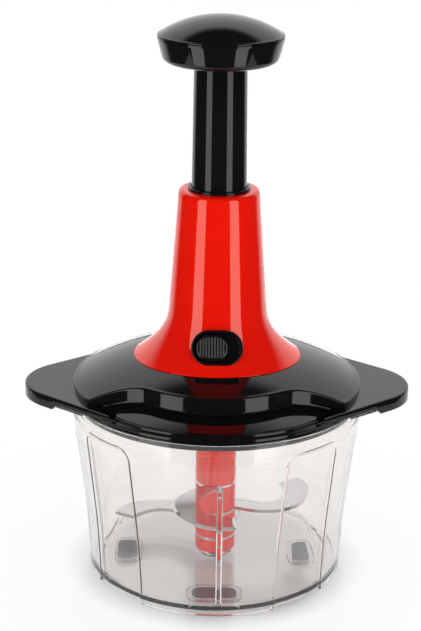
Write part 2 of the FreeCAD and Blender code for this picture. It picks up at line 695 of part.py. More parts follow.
def make_guide_bush():
    top = TOWER_TOP_Z
    bore = TUBE_R + RUN_FIT
    snap_top = top - TOWER_TOP_T
    points = [(bore, BUSH_LOW_Z), (BUSH_MOUTH_R, BUSH_LOW_Z), (BUSH_MOUTH_R, snap_top - BUSH_SNAP_T),
              (BUSH_SNAP_R, snap_top - BUSH_SNAP_T), (BUSH_SNAP_R, snap_top), (BUSH_MOUTH_R, snap_top),
              (BUSH_MOUTH_R, top), (BUSH_LIP_R, top), (BUSH_LIP_R, top + BUSH_LIP_T - 0.5),
              ((BUSH_LIP_R - 0.15, top + BUSH_LIP_T - 0.15), (BUSH_LIP_R - 0.5, top + BUSH_LIP_T)),
              (bore, top + BUSH_LIP_T)]
    return spun(points)


def slider_length():
    return LOCK_L - 2 * LOCK_RIM - LOCK_TRAVEL - 2 * SEAT_GAP


def make_lock():
    well_l = LOCK_L - 2 * LOCK_RIM
    well_h = LOCK_H - 2 * LOCK_RIM
    floor = -LOCK_DEEP + LOCK_FLOOR_T
    frame = stadium(LOCK_L, LOCK_H, -LOCK_DEEP, LOCK_PROUD)
    frame = frame.cut(stadium(well_l, well_h, floor, LOCK_PROUD + 1))
    stem_x = -LOCK_TRAVEL / 2
    slot = slab(stem_x - STEM_W / 2 - SEAT_GAP, stem_x + LOCK_TRAVEL + STEM_W / 2 + SEAT_GAP,
                -STEM_W / 2 - SEAT_GAP, STEM_W / 2 + SEAT_GAP, -LOCK_DEEP - 1, floor + 1)
    frame = frame.cut(slot)
    detent_t = 0.3
    spring = slab(-8.0, 8.0, -STEM_W / 2 - 3.0, -STEM_W / 2 - 1.0, floor, floor + detent_t)
    length = slider_length()
    middle = -well_l / 2 + SEAT_GAP + length / 2
    slider_low = floor + detent_t
    slider_high = LOCK_PROUD + 0.4
    body = stadium(length, well_h - 2 * SEAT_GAP, slider_low, slider_high, middle)
    pitch = 2 * SLIDER_RIB_W
    first = middle - pitch * (SLIDER_RIBS - 1) / 2
    rib_h = well_h * 0.74
    ribs = [slab(first + pitch * i - SLIDER_RIB_W / 2, first + pitch * i + SLIDER_RIB_W / 2,
                 -rib_h / 2, rib_h / 2, slider_high - 0.1, slider_high + SLIDER_RIB_H)
            for i in range(SLIDER_RIBS)]
    stem = slab(stem_x - STEM_W / 2, stem_x + STEM_W / 2, -STEM_W / 2, STEM_W / 2,
                -LOCK_DEEP - 2.0, slider_low + 0.1)
    slider = body.fuse(ribs + [stem]).removeSplitter()
    low = tongue_low_z()
    bar_low, bar_high = TONGUE_BAR_Y
    outer_x, inner_x, end_x = -TONGUE_OUTER_X, -TONGUE_INNER_X, stem_x + STEM_W / 2
    tongue = plate([(end_x, bar_low), (end_x, bar_high), (end_x - 10.0, bar_high + 2.0),
                    (inner_x, bar_high + 8.0), (inner_x, TONGUE_END_Y), (outer_x, TONGUE_END_Y),
                    (outer_x, bar_low + 11.0), (outer_x + 6.5, bar_low + 3.0),
                    (outer_x + 13.5, bar_low)], low, low + TONGUE_T)
    slider = on_lock_plane(slider)
    tongue = tongue.cut(slider)
    return {"lock_frame": on_lock_plane(frame), "lock_detent_spring": on_lock_plane(spring),
            "lock_slider": slider, "lock_tongue": tongue}


def tongue_low_z():
    """Underside of the tongue, at the height of the slider's stem."""
    lean = math.radians(LOCK_LEAN)
    return LOCK_Z - (LOCK_DEEP + 2.0) * math.sin(lean) - TONGUE_T / 2


# Plunger

def make_tube():
    points = [(TUBE_BORE_R, TUBE_LOW_Z), (TUBE_R, TUBE_LOW_Z), (TUBE_R, TUBE_TAPER_Z),
              (TUBE_TOP_R, KNOB_LOW_Z), (TUBE_TOP_R, KNOB_LOW_Z + KNOB_SOCKET_DEPTH),
              (SCREW_R, KNOB_LOW_Z + KNOB_SOCKET_DEPTH), (SCREW_R, TUBE_CEILING_Z),
              (TUBE_UPPER_BORE_R, TUBE_CEILING_Z), (TUBE_UPPER_BORE_R, TUBE_LEDGE_Z),
              (TUBE_BORE_R, TUBE_LEDGE_Z)]
    tube = spun(points)
    low = tongue_low_z() + STROKE
    reach = TONGUE_INNER_X - LOCK_TRAVEL
    notch = slab(-TUBE_R - 2, -reach + SEAT_GAP, -TUBE_R, TONGUE_END_Y + SEAT_GAP * 2,
                 low - SEAT_GAP * 2, low + TONGUE_T + SEAT_GAP * 2)
    return tube.cut(notch)


def make_knob():
    top = KNOB_LOW_Z + KNOB_SOCKET_DEPTH
    rim = KNOB_RIM_Z - KNOB_PARTING
    wall = KNOB_WALL
    hub_r = TUBE_TOP_R + wall + 0.6
    bend = KNOB_CORNER * 0.3
    body = spun([
        (TUBE_TOP_R, KNOB_LOW_Z), (KNOB_LOW_R - KNOB_CORNER, KNOB_LOW_Z),
        ((KNOB_LOW_R - bend, KNOB_LOW_Z + bend), (KNOB_LOW_R + 0.5, KNOB_LOW_Z + KNOB_CORNER)),
        (KNOB_RIM_R, rim - KNOB_EDGE), (KNOB_RIM_R, rim), (KNOB_RIM_R - wall, rim),
        (KNOB_LOW_R - wall, KNOB_LOW_Z + wall), (hub_r, KNOB_LOW_Z + wall), (hub_r, rim),
        (SCREW_R, rim), (SCREW_R, top), (TUBE_TOP_R, top)])
    edge = KNOB_RIM_R - KNOB_EDGE
    rise = KNOB_TOP_Z - KNOB_RIM_Z - KNOB_EDGE
    sphere = (edge ** 2 + rise ** 2) / (2 * rise)
    centre = KNOB_TOP_Z - sphere

    def crown(radius, size):
        return centre + math.sqrt(size ** 2 - radius ** 2)

    half = edge * 0.5
    skirt_low = KNOB_RIM_Z - 3.0
    skirt_out = between(skirt_low, (KNOB_LOW_R - wall, KNOB_LOW_Z + wall),
                        (KNOB_RIM_R - wall, rim)) - SEAT_GAP
    skirt_in = skirt_out - wall * 0.7
    inner = sphere - wall
    cap = spun([
        (0.0, KNOB_TOP_Z), ((half, crown(half, sphere)), (edge, crown(edge, sphere))),
        ((KNOB_RIM_R - KNOB_EDGE * 0.25, KNOB_RIM_Z + KNOB_EDGE * 0.6), (KNOB_RIM_R, KNOB_RIM_Z)),
        (skirt_out, KNOB_RIM_Z), (skirt_out, skirt_low), (skirt_in, skirt_low),
        (skirt_in, crown(skirt_in, inner)),
        ((half, crown(half, inner)), (0.0, KNOB_TOP_Z - wall))])
    fixing = screw(ORIGIN, rim, True, rim - TUBE_CEILING_Z - 0.5)
    return {"knob_body": body, "knob_cap": cap, "knob_screw": fixing}


# Drive

def twist_angle(z):
    """Direction of the strip's width at a height, in degrees."""
    return FULL_TURN * (z - STRIP_LOW_Z) / TWIST_PITCH


def twisted_bar(width, thickness, low, high):
    """Rectangular bar twisted about the axis, one turn per pitch."""
    steps = max(2, math.ceil((high - low) / (TWIST_PITCH / 12)))
    wires = []
    for i in range(steps + 1):
        z = low + (high - low) * i / steps
        corners = [V(x * width / 2, y * thickness / 2, z)
                   for x, y in ((1, 1), (-1, 1), (-1, -1), (1, -1), (1, 1))]
        wires.append(turned(Part.makePolygon(corners), twist_angle(z)))
    return Part.makeLoft(wires, True, False)


def make_drive():
    tang = slab(-STRIP_W / 2, STRIP_W / 2, -STRIP_T / 2, STRIP_T / 2,
                STRIP_LOW_Z - STRIP_TANG, STRIP_LOW_Z)
    strip = twisted_bar(STRIP_W, STRIP_T, STRIP_LOW_Z, STRIP_TOP_Z).fuse(tang).removeSplitter()
    boss = rod(BOSS_R, BOSS_LOW_Z, STRIP_LOW_Z).fuse(rod(JOURNAL_R, HEX_TOP_Z, BOSS_LOW_Z))
    boss = boss.fuse(hexagon(HEX_AF, HEX_LOW_Z, HEX_TOP_Z)).cut(tang).removeSplitter()
    nut = rod(NUT_R, NUT_LOW_Z, NUT_LOW_Z + NUT_H)
    slot = twisted_bar(STRIP_W + 2 * SEAT_GAP, STRIP_T + 2 * SEAT_GAP, NUT_LOW_Z - 1,
                       NUT_LOW_Z + NUT_H + 1)
    carrier_low = NUT_LOW_Z + NUT_H
    carrier = ring(NUT_R - CARRIER_WALL, NUT_R, carrier_low, TUBE_LEDGE_Z)
    flange = ring(NUT_R - CARRIER_WALL, TUBE_BORE_R, TUBE_LEDGE_Z - CARRIER_FLANGE_T, TUBE_LEDGE_Z)
    bearing_top = BOSS_LOW_Z - WASHER_T
    return {
        "spindle_strip": strip,
        "drive_hub": boss,
        "drive_nut": nut.cut(slot),
        "nut_carrier": carrier.fuse(flange).removeSplitter(),
        "bearing_bush": ring(JOURNAL_R + RUN_FIT, BOSS_R, PLATE_LOW_Z, bearing_top),
        "thrust_washer": ring(JOURNAL_R + SEAT_GAP, BOSS_R, bearing_top, BOSS_LOW_Z),
    }


def make_bearing_housing():
    low = PLATE_LOW_Z + PLATE_T
    body = ring(BOSS_R + FREE_GAP, HOUSING_R, low, HOUSING_TOP_Z)
    body = body.fuse(ring(BOSS_R + FREE_GAP, HOUSING_FLANGE_R, low, low + HOUSING_FLANGE_T))
    for p in housing_screw_spots():
        body = body.cut(rod(SCREW_R, low - 1, low + HOUSING_FLANGE_T + 1, p.x, p.y))
    return body.removeSplitter()


def make_return_spring():
    radius = SPRING_WIRE / 2
    low = HOUSING_TOP_Z + radius
    high = TUBE_LEDGE_Z - CARRIER_FLANGE_T - radius
    path = Part.makeHelix((high - low) / SPRING_TURNS, high - low, SPRING_MEAN_R)
    path.translate(V(0, 0, low))
    section = Part.Wire([Part.Circle(V(SPRING_MEAN_R, 0, low), V(0, 1, 0), radius).toShape()])
    return Part.Wire(path.Edges).makePipeShell([section], True, True)


def main():
    os.makedirs("parts", exist_ok=True)
    pieces = {
        "bowl": make_bowl(),
        "pivot_pin": make_pivot_pin(),
        "lid": make_lid(),
        "lid_inner_plate": make_inner_plate(),
        "lid_seal": make_seal(),
        "tower": make_tower(),
        "guide_bush": make_guide_bush(),
        "plunger_tube": make_tube(),
        "bearing_housing": make_bearing_housing(),
        "return_spring": make_return_spring(),
    }
    for group in (make_pads(), make_blades(), make_column(), make_screws(), make_lock(),
                  make_knob(), make_drive()):
        pieces.update(group)
    for name, shape in sorted(pieces.items()):
        box = shape.BoundBox
        print(f"{name}: {len(shape.Solids)} solid, valid {shape.isValid()}, "
              f"volume {shape.Volume / 1000:.2f} cm3, z {box.ZMin:.2f} to {box.ZMax:.2f}")
        shape.exportStep(f"parts/{name}.step")


main()
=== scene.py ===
"""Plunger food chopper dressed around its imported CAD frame.

Lengths are in millimetres until a piece is placed; the stage, lamps and camera are in metres.
"""

import json
import math

import bmesh
import bpy
from mathutils import Matrix, Vector


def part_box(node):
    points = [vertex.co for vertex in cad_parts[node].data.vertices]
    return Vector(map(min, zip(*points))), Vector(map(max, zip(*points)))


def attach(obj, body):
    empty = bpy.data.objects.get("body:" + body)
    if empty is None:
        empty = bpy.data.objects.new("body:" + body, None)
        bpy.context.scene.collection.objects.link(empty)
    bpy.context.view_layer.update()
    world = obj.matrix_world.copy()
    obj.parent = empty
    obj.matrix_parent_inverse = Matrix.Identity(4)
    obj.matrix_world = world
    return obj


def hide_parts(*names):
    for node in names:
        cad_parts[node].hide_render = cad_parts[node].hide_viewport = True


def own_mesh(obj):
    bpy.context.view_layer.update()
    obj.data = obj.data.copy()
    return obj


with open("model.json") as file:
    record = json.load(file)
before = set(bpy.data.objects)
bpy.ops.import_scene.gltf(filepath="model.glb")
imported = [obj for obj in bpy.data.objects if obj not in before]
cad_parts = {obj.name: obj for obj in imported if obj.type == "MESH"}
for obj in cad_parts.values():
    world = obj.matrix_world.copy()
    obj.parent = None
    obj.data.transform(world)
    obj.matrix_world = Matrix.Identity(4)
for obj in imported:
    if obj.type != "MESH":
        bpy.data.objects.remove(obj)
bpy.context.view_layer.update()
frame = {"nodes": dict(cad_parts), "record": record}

MM = 0.001
TURN = 2 * math.pi
SMOOTH_ANGLE = 35.0
CORNER_STEPS = 6
CORNER_SHARE = 0.49
MERGE_GAP = MM / 1000

# Bowl, as the CAD has it
BOWL_WALL = 2.4
BOWL_TOP_R = 75.9
BOWL_FOOT_R = 67.4
BOWL_KNEE_R = 69.3
BOWL_KNEE_Z = 36.0
BOWL_KNEE_SOFT = 14.0
BOWL_FLARE_Z = 88.0
FLOOR_TOP_Z = 5.0
FLOOR_LOW_Z = 2.6
FLOOR_BITE = 0.6
RIM_R = 76.4
RIM_TOP_Z = 98.4
RIM_LOW_Z = 93.2
RIM_IN_Z = 92.0
FOOT_IN_R = 64.4
FOOT_LOW_Z = 0.4
FOOT_HIGH_Z = 1.9
FOOT_STEP = 0.8
FOOT_EDGE = 0.3
PATTERN_TURN = -3.5
LOW_ARC_HALF = 31.0
PANEL_DEPTH = 0.9
PANEL_TOP_Z = 89.0
PANEL_CORNER = 6.0
PANEL_STEP = 1.8
PANEL_BEAD_H = 0.7
PANEL_BEAD_W = 0.95
PANEL_BEAD_FADE = 0.7
PANEL_BACK_SHARE = 0.2
PANEL_FADE_START = 0.05
PIN_BOSS_R = 7.5
PIN_BOSS_Z = 7.7
PIN_HOLE_R = 3.1
PIN_HOLE_Z = FLOOR_LOW_Z + 0.8
RIB_W = 3.0
RIB_IN_R = 62.8
RIB_TOP_Z = 72.0
RIB_TURN = 1.9
RIB_CHAMFER = 0.6
RIB_TOP_CHAMFER = 0.4
PAD_RADIUS = 48.0
PAD_L = 23.0
PAD_W = 12.0
PAD_CORNER = 4.5
PAD_GAP = 0.1
CELL_WALL = 2.7
CELL_CORNER = 2.0
CELL_CHAMFER = 0.3
CELL_LOW_Z = 1.0
BOWL_EAR_INSET = 4.6
BOWL_EAR_LOW_Z = 95.5
BOWL_EAR_TOP_Z = 97.9
BOWL_EAR_CHAMFER = 0.5
MOUTH_CUT_Z = (90.0, 100.0)

# Ears
EAR_TIP_X = 73.0
EAR_TIP_R = 28.0
EAR_SIDE_TURN = 51.0
EAR_ROOT_X = 50.0
EAR_MIDDLE_X = 82.0
EAR_TOP_Z = 103.0
EAR_ROUND = 1.0
EAR_SKIN = 2.2
EAR_DEEP_Z = 96.3
EAR_SHALLOW_Z = 99.5
EAR_NOTCH_X = 82.6
EAR_NOTCH_SLOPE = 0.8
EAR_FOOT_CHAMFER = 0.3

# Lid
SKIRT_R = 76.2
SKIRT_LOW_Z = 98.7
DOME_TOP_Z = 124.7
BRIM_R = 75.2
BRIM_EDGE_R = 73.5
BRIM_EDGE_Z = 106.5
BRIM_LOW_Z = 101.2
DOME_HOLE_R = 20.0
DOME_EDGE = 1.3
DOME_ROWS = 24
DOME_FOOT_FLOW = 1.6
FOOT_FLOW_FADE = 4.0
LID_WALL = 2.4
SCALLOP_R = 55.5
SCALLOP_HALF = 37.0
SCALLOP_CORNER = (62.0, 37.0)
SCALLOP_PULL = (12.0, 9.0)
APRON_HIGH = (54.0, 107.2)
APRON_LOW = (70.2, 102.0)
APRON_IN_R = 52.0
LEDGE_R = 73.4
LEDGE_Z = 102.9
STEP_R = 75.4
COLLAR_R = 71.6
COLLAR_IN_R = 69.8
COLLAR_LOW_Z = 94.6

# Tower
TOWER_TOP_Z = 208.0
TOWER_TOP_R = 20.75
TOWER_TAPER = 0.074
TOWER_BASE_Z = 119.0
TOWER_ROUND = 2.2
TOWER_WALL = 2.4
TOWER_SEAM = 0.25
TOWER_FOOT_IN = 0.3
TOWER_SIDES = 160
TOWER_ROWS = 48
TOWER_ROW_CROWDING = 1.6
TOWER_MOUTH_R = 15.4
TOWER_MOUTH_DEEP = 5.0
FLARE_TOP_Z = 145.0
FLARE_LOW_Z = 116.5
FLARE_X = 19.7
FLARE_Y = 16.2
FLARE_POWER = 2.2
SEAM_TRIES = 30

# Lock on its leaning plane
LOCK_LEAN = math.radians(23.0)
LOCK_Y = -30.6
LOCK_Z = 132.8
LOCK_L = 26.4
LOCK_H = 17.9
LOCK_GAP = 0.1
LOCK_CUT = (-12.0, 8.0)
LOCK_RIM = 1.4
LOCK_DEEP = -4.0
LOCK_PROUD = 0.6
LOCK_LIP = 0.5
LOCK_CHAMFER = 0.3
WELL_FLOOR = -3.0
WELL_COVE = 0.29
SLIDER_TRAVEL = 5.2
SLIDER_GAP = 0.3
SLIDER_TOP = 1.0
SLIDER_LOW = -2.7
SLIDER_EDGE = 2.2
GRIP_RIBS = 9
GRIP_PITCH = 1.45
GRIP_HALF = 0.36
GRIP_INSET = 1.9
GRIP_ROOF_W = 0.15
GRIP_ROOF_L = 0.94
GRIP_LOW = -0.3
GRIP_SIDE = 0.4
GRIP_ROOF = 0.53
LEAF_X = (-4.0, 4.0)
LEAF_Y = (-5.0, -3.0)
LEAF_Z = (-2.99, -2.71)

# Plunger
TUBE_R = 14.2
TUBE_TOP_R = 13.3
TUBE_LOW_Z = 168.0
TUBE_TAPER_Z = 210.0
TUBE_BORE_R = 11.4
TUBE_HEAD_Z = (240.0, 278.5)
TUBE_HEAD_BORE_R = 9.0
NOTCH_X = (-16.2, -11.1)
NOTCH_Y = (-14.2, -1.4)
NOTCH_Z = (188.65, 192.25)
KNOB_LOW_Z = 272.7
KNOB_LOW_R = 28.8
KNOB_CORNER = 4.0
KNOB_RIM_R = 31.6
KNOB_RIM_Z = 286.0
KNOB_TOP_Z = 296.0
KNOB_EDGE = 1.0
KNOB_WALL = 2.2
KNOB_FLOOR_Z = 275.5
KNOB_SEAT_R = 16.1
KNOB_SEAT_Z = 281.8
KNOB_SEAM = 0.25
KNOB_SCREW_R = 1.6
CAP_SPIGOT_R = 28.2
CAP_SPIGOT_IN_R = 26.0
CAP_SPIGOT_H = 3.0
TUBE_TOP_Z = KNOB_LOW_Z + 9.0
BUSH_IN_R = 14.28
BUSH_R = 15.35
BUSH_LOW_Z = 186.0
BUSH_FLANGE_R = 17.9
BUSH_FLANGE_Z = (200.5, 203.0)
BUSH_LIP_R = 16.0
BUSH_LIP_Z = TOWER_TOP_Z + 1.5
SPRING_LOW_Z = 106.0
SPRING_MEAN_R = 9.9
SPRING_WIRE = 1.4
SPRING_TURNS = 13
SPRING_TURN_STEPS = 24
WIRE_SIDES = 10

# Blade column
COLUMN_R = 10.8
COLUMN_BORE_R = 6.4
COLUMN_CHAMFER = 0.5
COLUMN_LEVELS = {"column_foot": (8.0, 15.5), "column_spacer_lower": (16.7, 30.0),
                 "column_spacer_upper": (31.2, 46.0), "column_upper": (47.2, 95.0)}
SOCKET_BORE_R = 7.6
SOCKET_LOW_Z = 80.0
SOCKET_CONE = 18.0
BLADE_REACH = 60.5
BLADE_THICK = 1.2
BLADE_SIDE = 0.25
BLADE_GROUND = 1.5
BLADE_HUB_R = 10.6
BLADE_LEVELS = {"blade_upper": (46.0, 0.0), "blade_middle": (30.0, 120.0), "blade_lower": (15.5, 240.0)}


# Shaping helpers

def alone(piece):
    """Make one piece the only one that operators act on."""
    bpy.ops.object.select_all(action="DESELECT")
    piece.select_set(True)
    bpy.context.view_layer.objects.active = piece


def smoothed(piece, angle=SMOOTH_ANGLE):
    """Shade a piece smooth wherever its faces meet within an angle."""
    alone(piece)
    bpy.ops.object.shade_smooth_by_angle(angle=math.radians(angle))
    return piece


def clamped(share):
    """A share kept between 0 and 1."""
    return min(1.0, max(0.0, share))


def quarter_turns(steps, first=0):
    """Sine and cosine at even steps of a quarter turn."""
    turns = [math.radians(90 / steps * i) for i in range(first, steps + 1)]
    return [(math.sin(turn), math.cos(turn)) for turn in turns]


def softened(points):
    """Outline of (radius, height) points where a third number rounds that corner."""
    out = []
    for i, point in enumerate(points):
        if len(point) == 2:
            out.append(Vector(point))
            continue
        here = Vector(point[:2])
        before = Vector(points[i - 1][:2]) - here
        after = Vector(points[(i + 1) % len(points)][:2]) - here
        half = before.angle(after) / 2
        reach = min(point[2] / math.tan(half), before.length * CORNER_SHARE, after.length * CORNER_SHARE)
        radius = reach * math.tan(half)
        centre = here + (before.normalized() + after.normalized()).normalized() * radius / math.sin(half)
        first = here + before.normalized() * reach - centre
        last = here + after.normalized() * reach - centre
        sweep = first.angle_signed(last)
        for k in range(CORNER_STEPS + 1):
            turned = first.copy()
            turned.rotate(Matrix.Rotation(-sweep * k / CORNER_STEPS, 2))
            out.append(centre + turned)
    return out


def round_ring(radius, height, count):
    """Ring of points at one radius and height."""
    return [(radius * math.cos(TURN * i / count), radius * math.sin(TURN * i / count), height)
            for i in range(count)]


def pole_ring(height, count, x=0.0):
    """Ring drawn in to one point."""
    return [(x, 0, height)] * count


def place_ring(piece, ring):
    """Move the selected ring of corners to the points of a ring, by their number."""
    mesh = bmesh.from_edit_mesh(piece.data)
    number = mesh.verts.layers.int["number"]
    for corner in mesh.verts:
        if corner.select:
            corner.co = Vector(ring[corner[number]]) * MM
    bmesh.update_edit_mesh(piece.data)


def raise_rings(name, rings, smooth=SMOOTH_ANGLE, capped=False):
    """Circle extruded through a row of rings, merged where rings or corners meet."""
    bpy.ops.object.select_all(action="DESELECT")
    bpy.ops.mesh.primitive_circle_add(vertices=len(rings[0]), radius=1.0,
                                      fill_type="NGON" if capped else "NOTHING")
    piece = bpy.context.object
    piece.name = piece.data.name = name
    numbers = piece.data.attributes.new("number", "INT", "POINT")
    numbers.data.foreach_set("value", list(range(len(rings[0]))))
    bpy.ops.object.mode_set(mode="EDIT")
    bpy.ops.mesh.select_all(action="SELECT")
    place_ring(piece, rings[0])
    for ring in rings[1:]:
        bpy.ops.mesh.extrude_region_move()
        place_ring(piece, ring)
    bpy.ops.mesh.select_all(action="SELECT")
    bpy.ops.mesh.remove_doubles(threshold=MERGE_GAP)
    bpy.ops.mesh.normals_make_consistent(inside=False)
    bpy.ops.object.mode_set(mode="OBJECT")
    piece.data.attributes.remove(piece.data.attributes["number"])
    return smoothed(piece, smooth)


def turned_piece(name, outline, count=128):
    """Closed outline of (radius, height) points raised about the upright axis."""
    points = softened(outline)
    points.append(points[0])
    return raise_rings(name, [round_ring(p[0], p[1], count) for p in points])


def finish_with(piece, kind, **settings):
    """Add a modifier with its settings and apply it."""
    alone(piece)
    modifier = piece.modifiers.new(kind.title(), kind)
    for key, value in settings.items():
        setattr(modifier, key, value)
    bpy.ops.object.modifier_apply(modifier=modifier.name)


def cut_away(piece, cutter):
    """Take the cutter's shape out of the piece and delete the cutter."""
    finish_with(piece, "BOOLEAN", operation="DIFFERENCE", solver="EXACT", object=cutter)
    bpy.data.objects.remove(cutter)


def fused(piece, addition):
    """Make another closed piece one with this piece."""
    finish_with(piece, "BOOLEAN", operation="UNION", solver="EXACT", object=addition)
    bpy.data.objects.remove(addition)


def joined(name, pieces):
    """Several pieces made one."""
    alone(pieces[0])
    for piece in pieces[1:]:
        piece.select_set(True)
    bpy.ops.object.join()
    pieces[0].name = pieces[0].data.name = name
    return pieces[0]


def settled(piece, place):
    """Move a piece by a matrix, and apply its place."""
    alone(piece)
    piece.matrix_world = place
    bpy.ops.object.transform_apply(location=True, rotation=True, scale=True)
    return piece


def plan_copy(plan, offset):
    """Closed plan outline moved inwards by an offset."""
    count = len(plan)
    moved = []
    for i in range(count):
        along = plan[(i + 1) % count] - plan[i - 1]
        inward = Vector((-along.y, along.x)).normalized()
        moved.append(plan[i] + inward * offset)
    return moved


def plan_ring(plan, height, offset=0.0):
    """Ring of a plan outline at a height, moved inwards by an offset."""
    return [(p.x, p.y, height) for p in plan_copy(plan, offset)]


def rounded_edge(plan, top, radius, steps, first=1):
    """Rings that take the sides of a plan round to a top face."""
    return [plan_ring(plan, top - radius * (1 - sine), radius * (1 - cosine))
            for sine, cosine in quarter_turns(steps, first)]


def arc_points(centre_x, radius, start, end, steps, first=0):
    """Plan points along an arc about a point on the X axis."""
    angles = [start + (end - start) * i / steps for i in range(first, steps + 1)]
    return [Vector((centre_x + radius * math.cos(a), radius * math.sin(a))) for a in angles]


def box_plan(xs, ys):
    """Closed outline of a rectangle from its two limits along X and along Y."""
    return [Vector((xs[i], ys[k])) for i, k in ((0, 0), (1, 0), (1, 1), (0, 1))]


def rounded_plan(length, width, corner):
    """Closed outline of a rectangle with rounded corners, its long side along X."""
    steps = 8
    plan = []
    for turn, x, y in ((0, 1, 1), (1, -1, 1), (2, -1, -1), (3, 1, -1)):
        centre = Vector((x * (length / 2 - corner), y * (width / 2 - corner)))
        for i in range(steps + 1):
            angle = math.pi / 2 * (turn + i / steps)
            plan.append(centre + Vector((corner * math.cos(angle), corner * math.sin(angle))))
    return plan


def stadium_plan(length, height, shift=0.0):
    """Closed outline with half-round ends, its long side along X."""
    radius = height / 2
    right = arc_points(shift + (length / 2 - radius), radius, -math.pi / 2, math.pi / 2, 16)
    return right + [Vector((2 * shift - p.x, -p.y)) for p in right]


def cap_height(top, edge, rise, radius, drop=0.0):
    """Height of a round cap at a radius, lowered by a wall if asked."""
    sphere = (edge ** 2 + rise ** 2) / (2 * rise)
    return top - sphere + math.sqrt((sphere - drop) ** 2 - radius ** 2)


# Materials

def feed(tree, source, socket):
    """Link a node's output to a socket, or set the socket to a plain value."""
    if isinstance(source, bpy.types.NodeSocket):
        tree.links.new(source, socket)
    else:
        socket.default_value = source


def add_node(tree, kind, *sources, operation=None, **inputs):
    """Node fed by the order of its sockets, or by their names."""
    node = tree.nodes.new(kind)
    if operation:
        node.operation = operation
    for number, source in enumerate(sources):
        feed(tree, source, node.inputs[number])
    for socket, source in inputs.items():
        feed(tree, source, node.inputs[socket.replace("_", " ")])
    return node


def blend(tree, share, first, second):
    """Mix of two shaders by a share."""
    return add_node(tree, "ShaderNodeMixShader", share, first, second).outputs["Shader"]


def paint(name, colour, **sockets):
    """Principled material with its plain sockets set, and its shader to build on."""
    material = bpy.data.materials.new(name)
    material.use_nodes = True
    shader = material.node_tree.nodes["Principled BSDF"]
    shader.inputs["Base Color"].default_value = (*colour, 1)
    for socket, value in sockets.items():
        shader.inputs[socket.replace("_", " ")].default_value = value
    return material, shader


def show(material, surface):
    """Make a shader's output the material's surface."""
    feed(material.node_tree, surface, material.node_tree.nodes["Material Output"].inputs["Surface"])


def grain(material, scale, detail=3.0, stretch=(1, 1, 1)):
    """Noise that reads the piece's own coordinates."""
    tree = material.node_tree
    place = add_node(tree, "ShaderNodeTexCoord").outputs["Object"]
    mapped = add_node(tree, "ShaderNodeMapping", Vector=place, Scale=stretch).outputs["Vector"]
    return add_node(tree, "ShaderNodeTexNoise", Vector=mapped, Scale=scale, Detail=detail).outputs["Fac"]


def spread(material, shader, noise, low, high):
    """Vary the roughness with noise between two values."""
    tree = material.node_tree
    span = add_node(tree, "ShaderNodeMapRange", Value=noise, From_Min=0.3, From_Max=0.7,
                    To_Min=low, To_Max=high)
    feed(tree, span.outputs["Result"], shader.inputs["Roughness"])


def tint(material, shader, noise, first, second):
    """Vary the base colour with noise between two near shades."""
    tree = material.node_tree
    ramp = add_node(tree, "ShaderNodeValToRGB", Fac=noise)
    for element, position, colour in zip(ramp.color_ramp.elements, (0.35, 0.65), (first, second)):
        element.position = position
        element.color = (*colour, 1)
    feed(tree, ramp.outputs["Color"], shader.inputs["Base Color"])


def relief(material, shader, noise, strength, depth):
    """Fine bump from noise, its depth in metres."""
    tree = material.node_tree
    bump = add_node(tree, "ShaderNodeBump", Height=noise, Strength=strength, Distance=depth)
    feed(tree, bump.outputs["Normal"], shader.inputs["Normal"])


def gloss_plastic(name, first, second, rough, **sockets):
    """Polished moulding: even colour, slight flow marks and a soft waviness."""
    material, shader = paint(name, first, **sockets)
    tint(material, shader, grain(material, 25.0), first, second)
    spread(material, shader, grain(material, 60.0, detail=5.0), low=rough * 0.8, high=rough * 1.2)
    relief(material, shader, grain(material, 35.0, detail=1.0), strength=0.4, depth=0.00002)
    return material


def matt_plastic(name, first, second, rough=0.5):
    """Satin moulding with a fine spark-eroded grain."""
    material, shader = paint(name, first)
    tint(material, shader, grain(material, 40.0), first, second)
    spread(material, shader, grain(material, 900.0), low=rough - 0.08, high=rough + 0.08)
    relief(material, shader, grain(material, 1800.0, detail=2.0), strength=0.5, depth=0.00003)
    return material


def brushed_metal(name, first, second, rough, stretch):
    """Metal with fine brush lines along one direction."""
    material, shader = paint(name, first, Metallic=1.0)
    lines = grain(material, 300.0, detail=4.0, stretch=stretch)
    tint(material, shader, lines, first, second)
    spread(material, shader, lines, low=rough * 0.75, high=rough * 1.25)
    relief(material, shader, lines, strength=0.2, depth=0.000004)
    return material


def soft_rubber(name, first, second):
    """Matt elastomer with a powdery surface."""
    material, shader = paint(name, first)
    tint(material, shader, grain(material, 60.0), first, second)
    spread(material, shader, grain(material, 500.0), low=0.62, high=0.8)
    relief(material, shader, grain(material, 1200.0, detail=2.0), strength=0.6, depth=0.00005)
    return material


def clear_plastic():
    """See-through polished plastic; lamps shine through it, as light does through a thin wall."""
    material, shader = paint("clear_plastic", (0.955, 0.942, 0.93), IOR=1.46, Transmission_Weight=0.975)
    tree = material.node_tree
    spread(material, shader, grain(material, 50.0, detail=4.0), low=0.0, high=0.03)
    relief(material, shader, grain(material, 30.0, detail=1.0), strength=0.3, depth=0.00003)
    shadow = add_node(tree, "ShaderNodeLightPath").outputs["Is Shadow Ray"]
    passing = add_node(tree, "ShaderNodeBsdfTransparent", Color=(0.9, 0.905, 0.91, 1)).outputs["BSDF"]
    show(material, blend(tree, shadow, shader.outputs["BSDF"], passing))
    return material


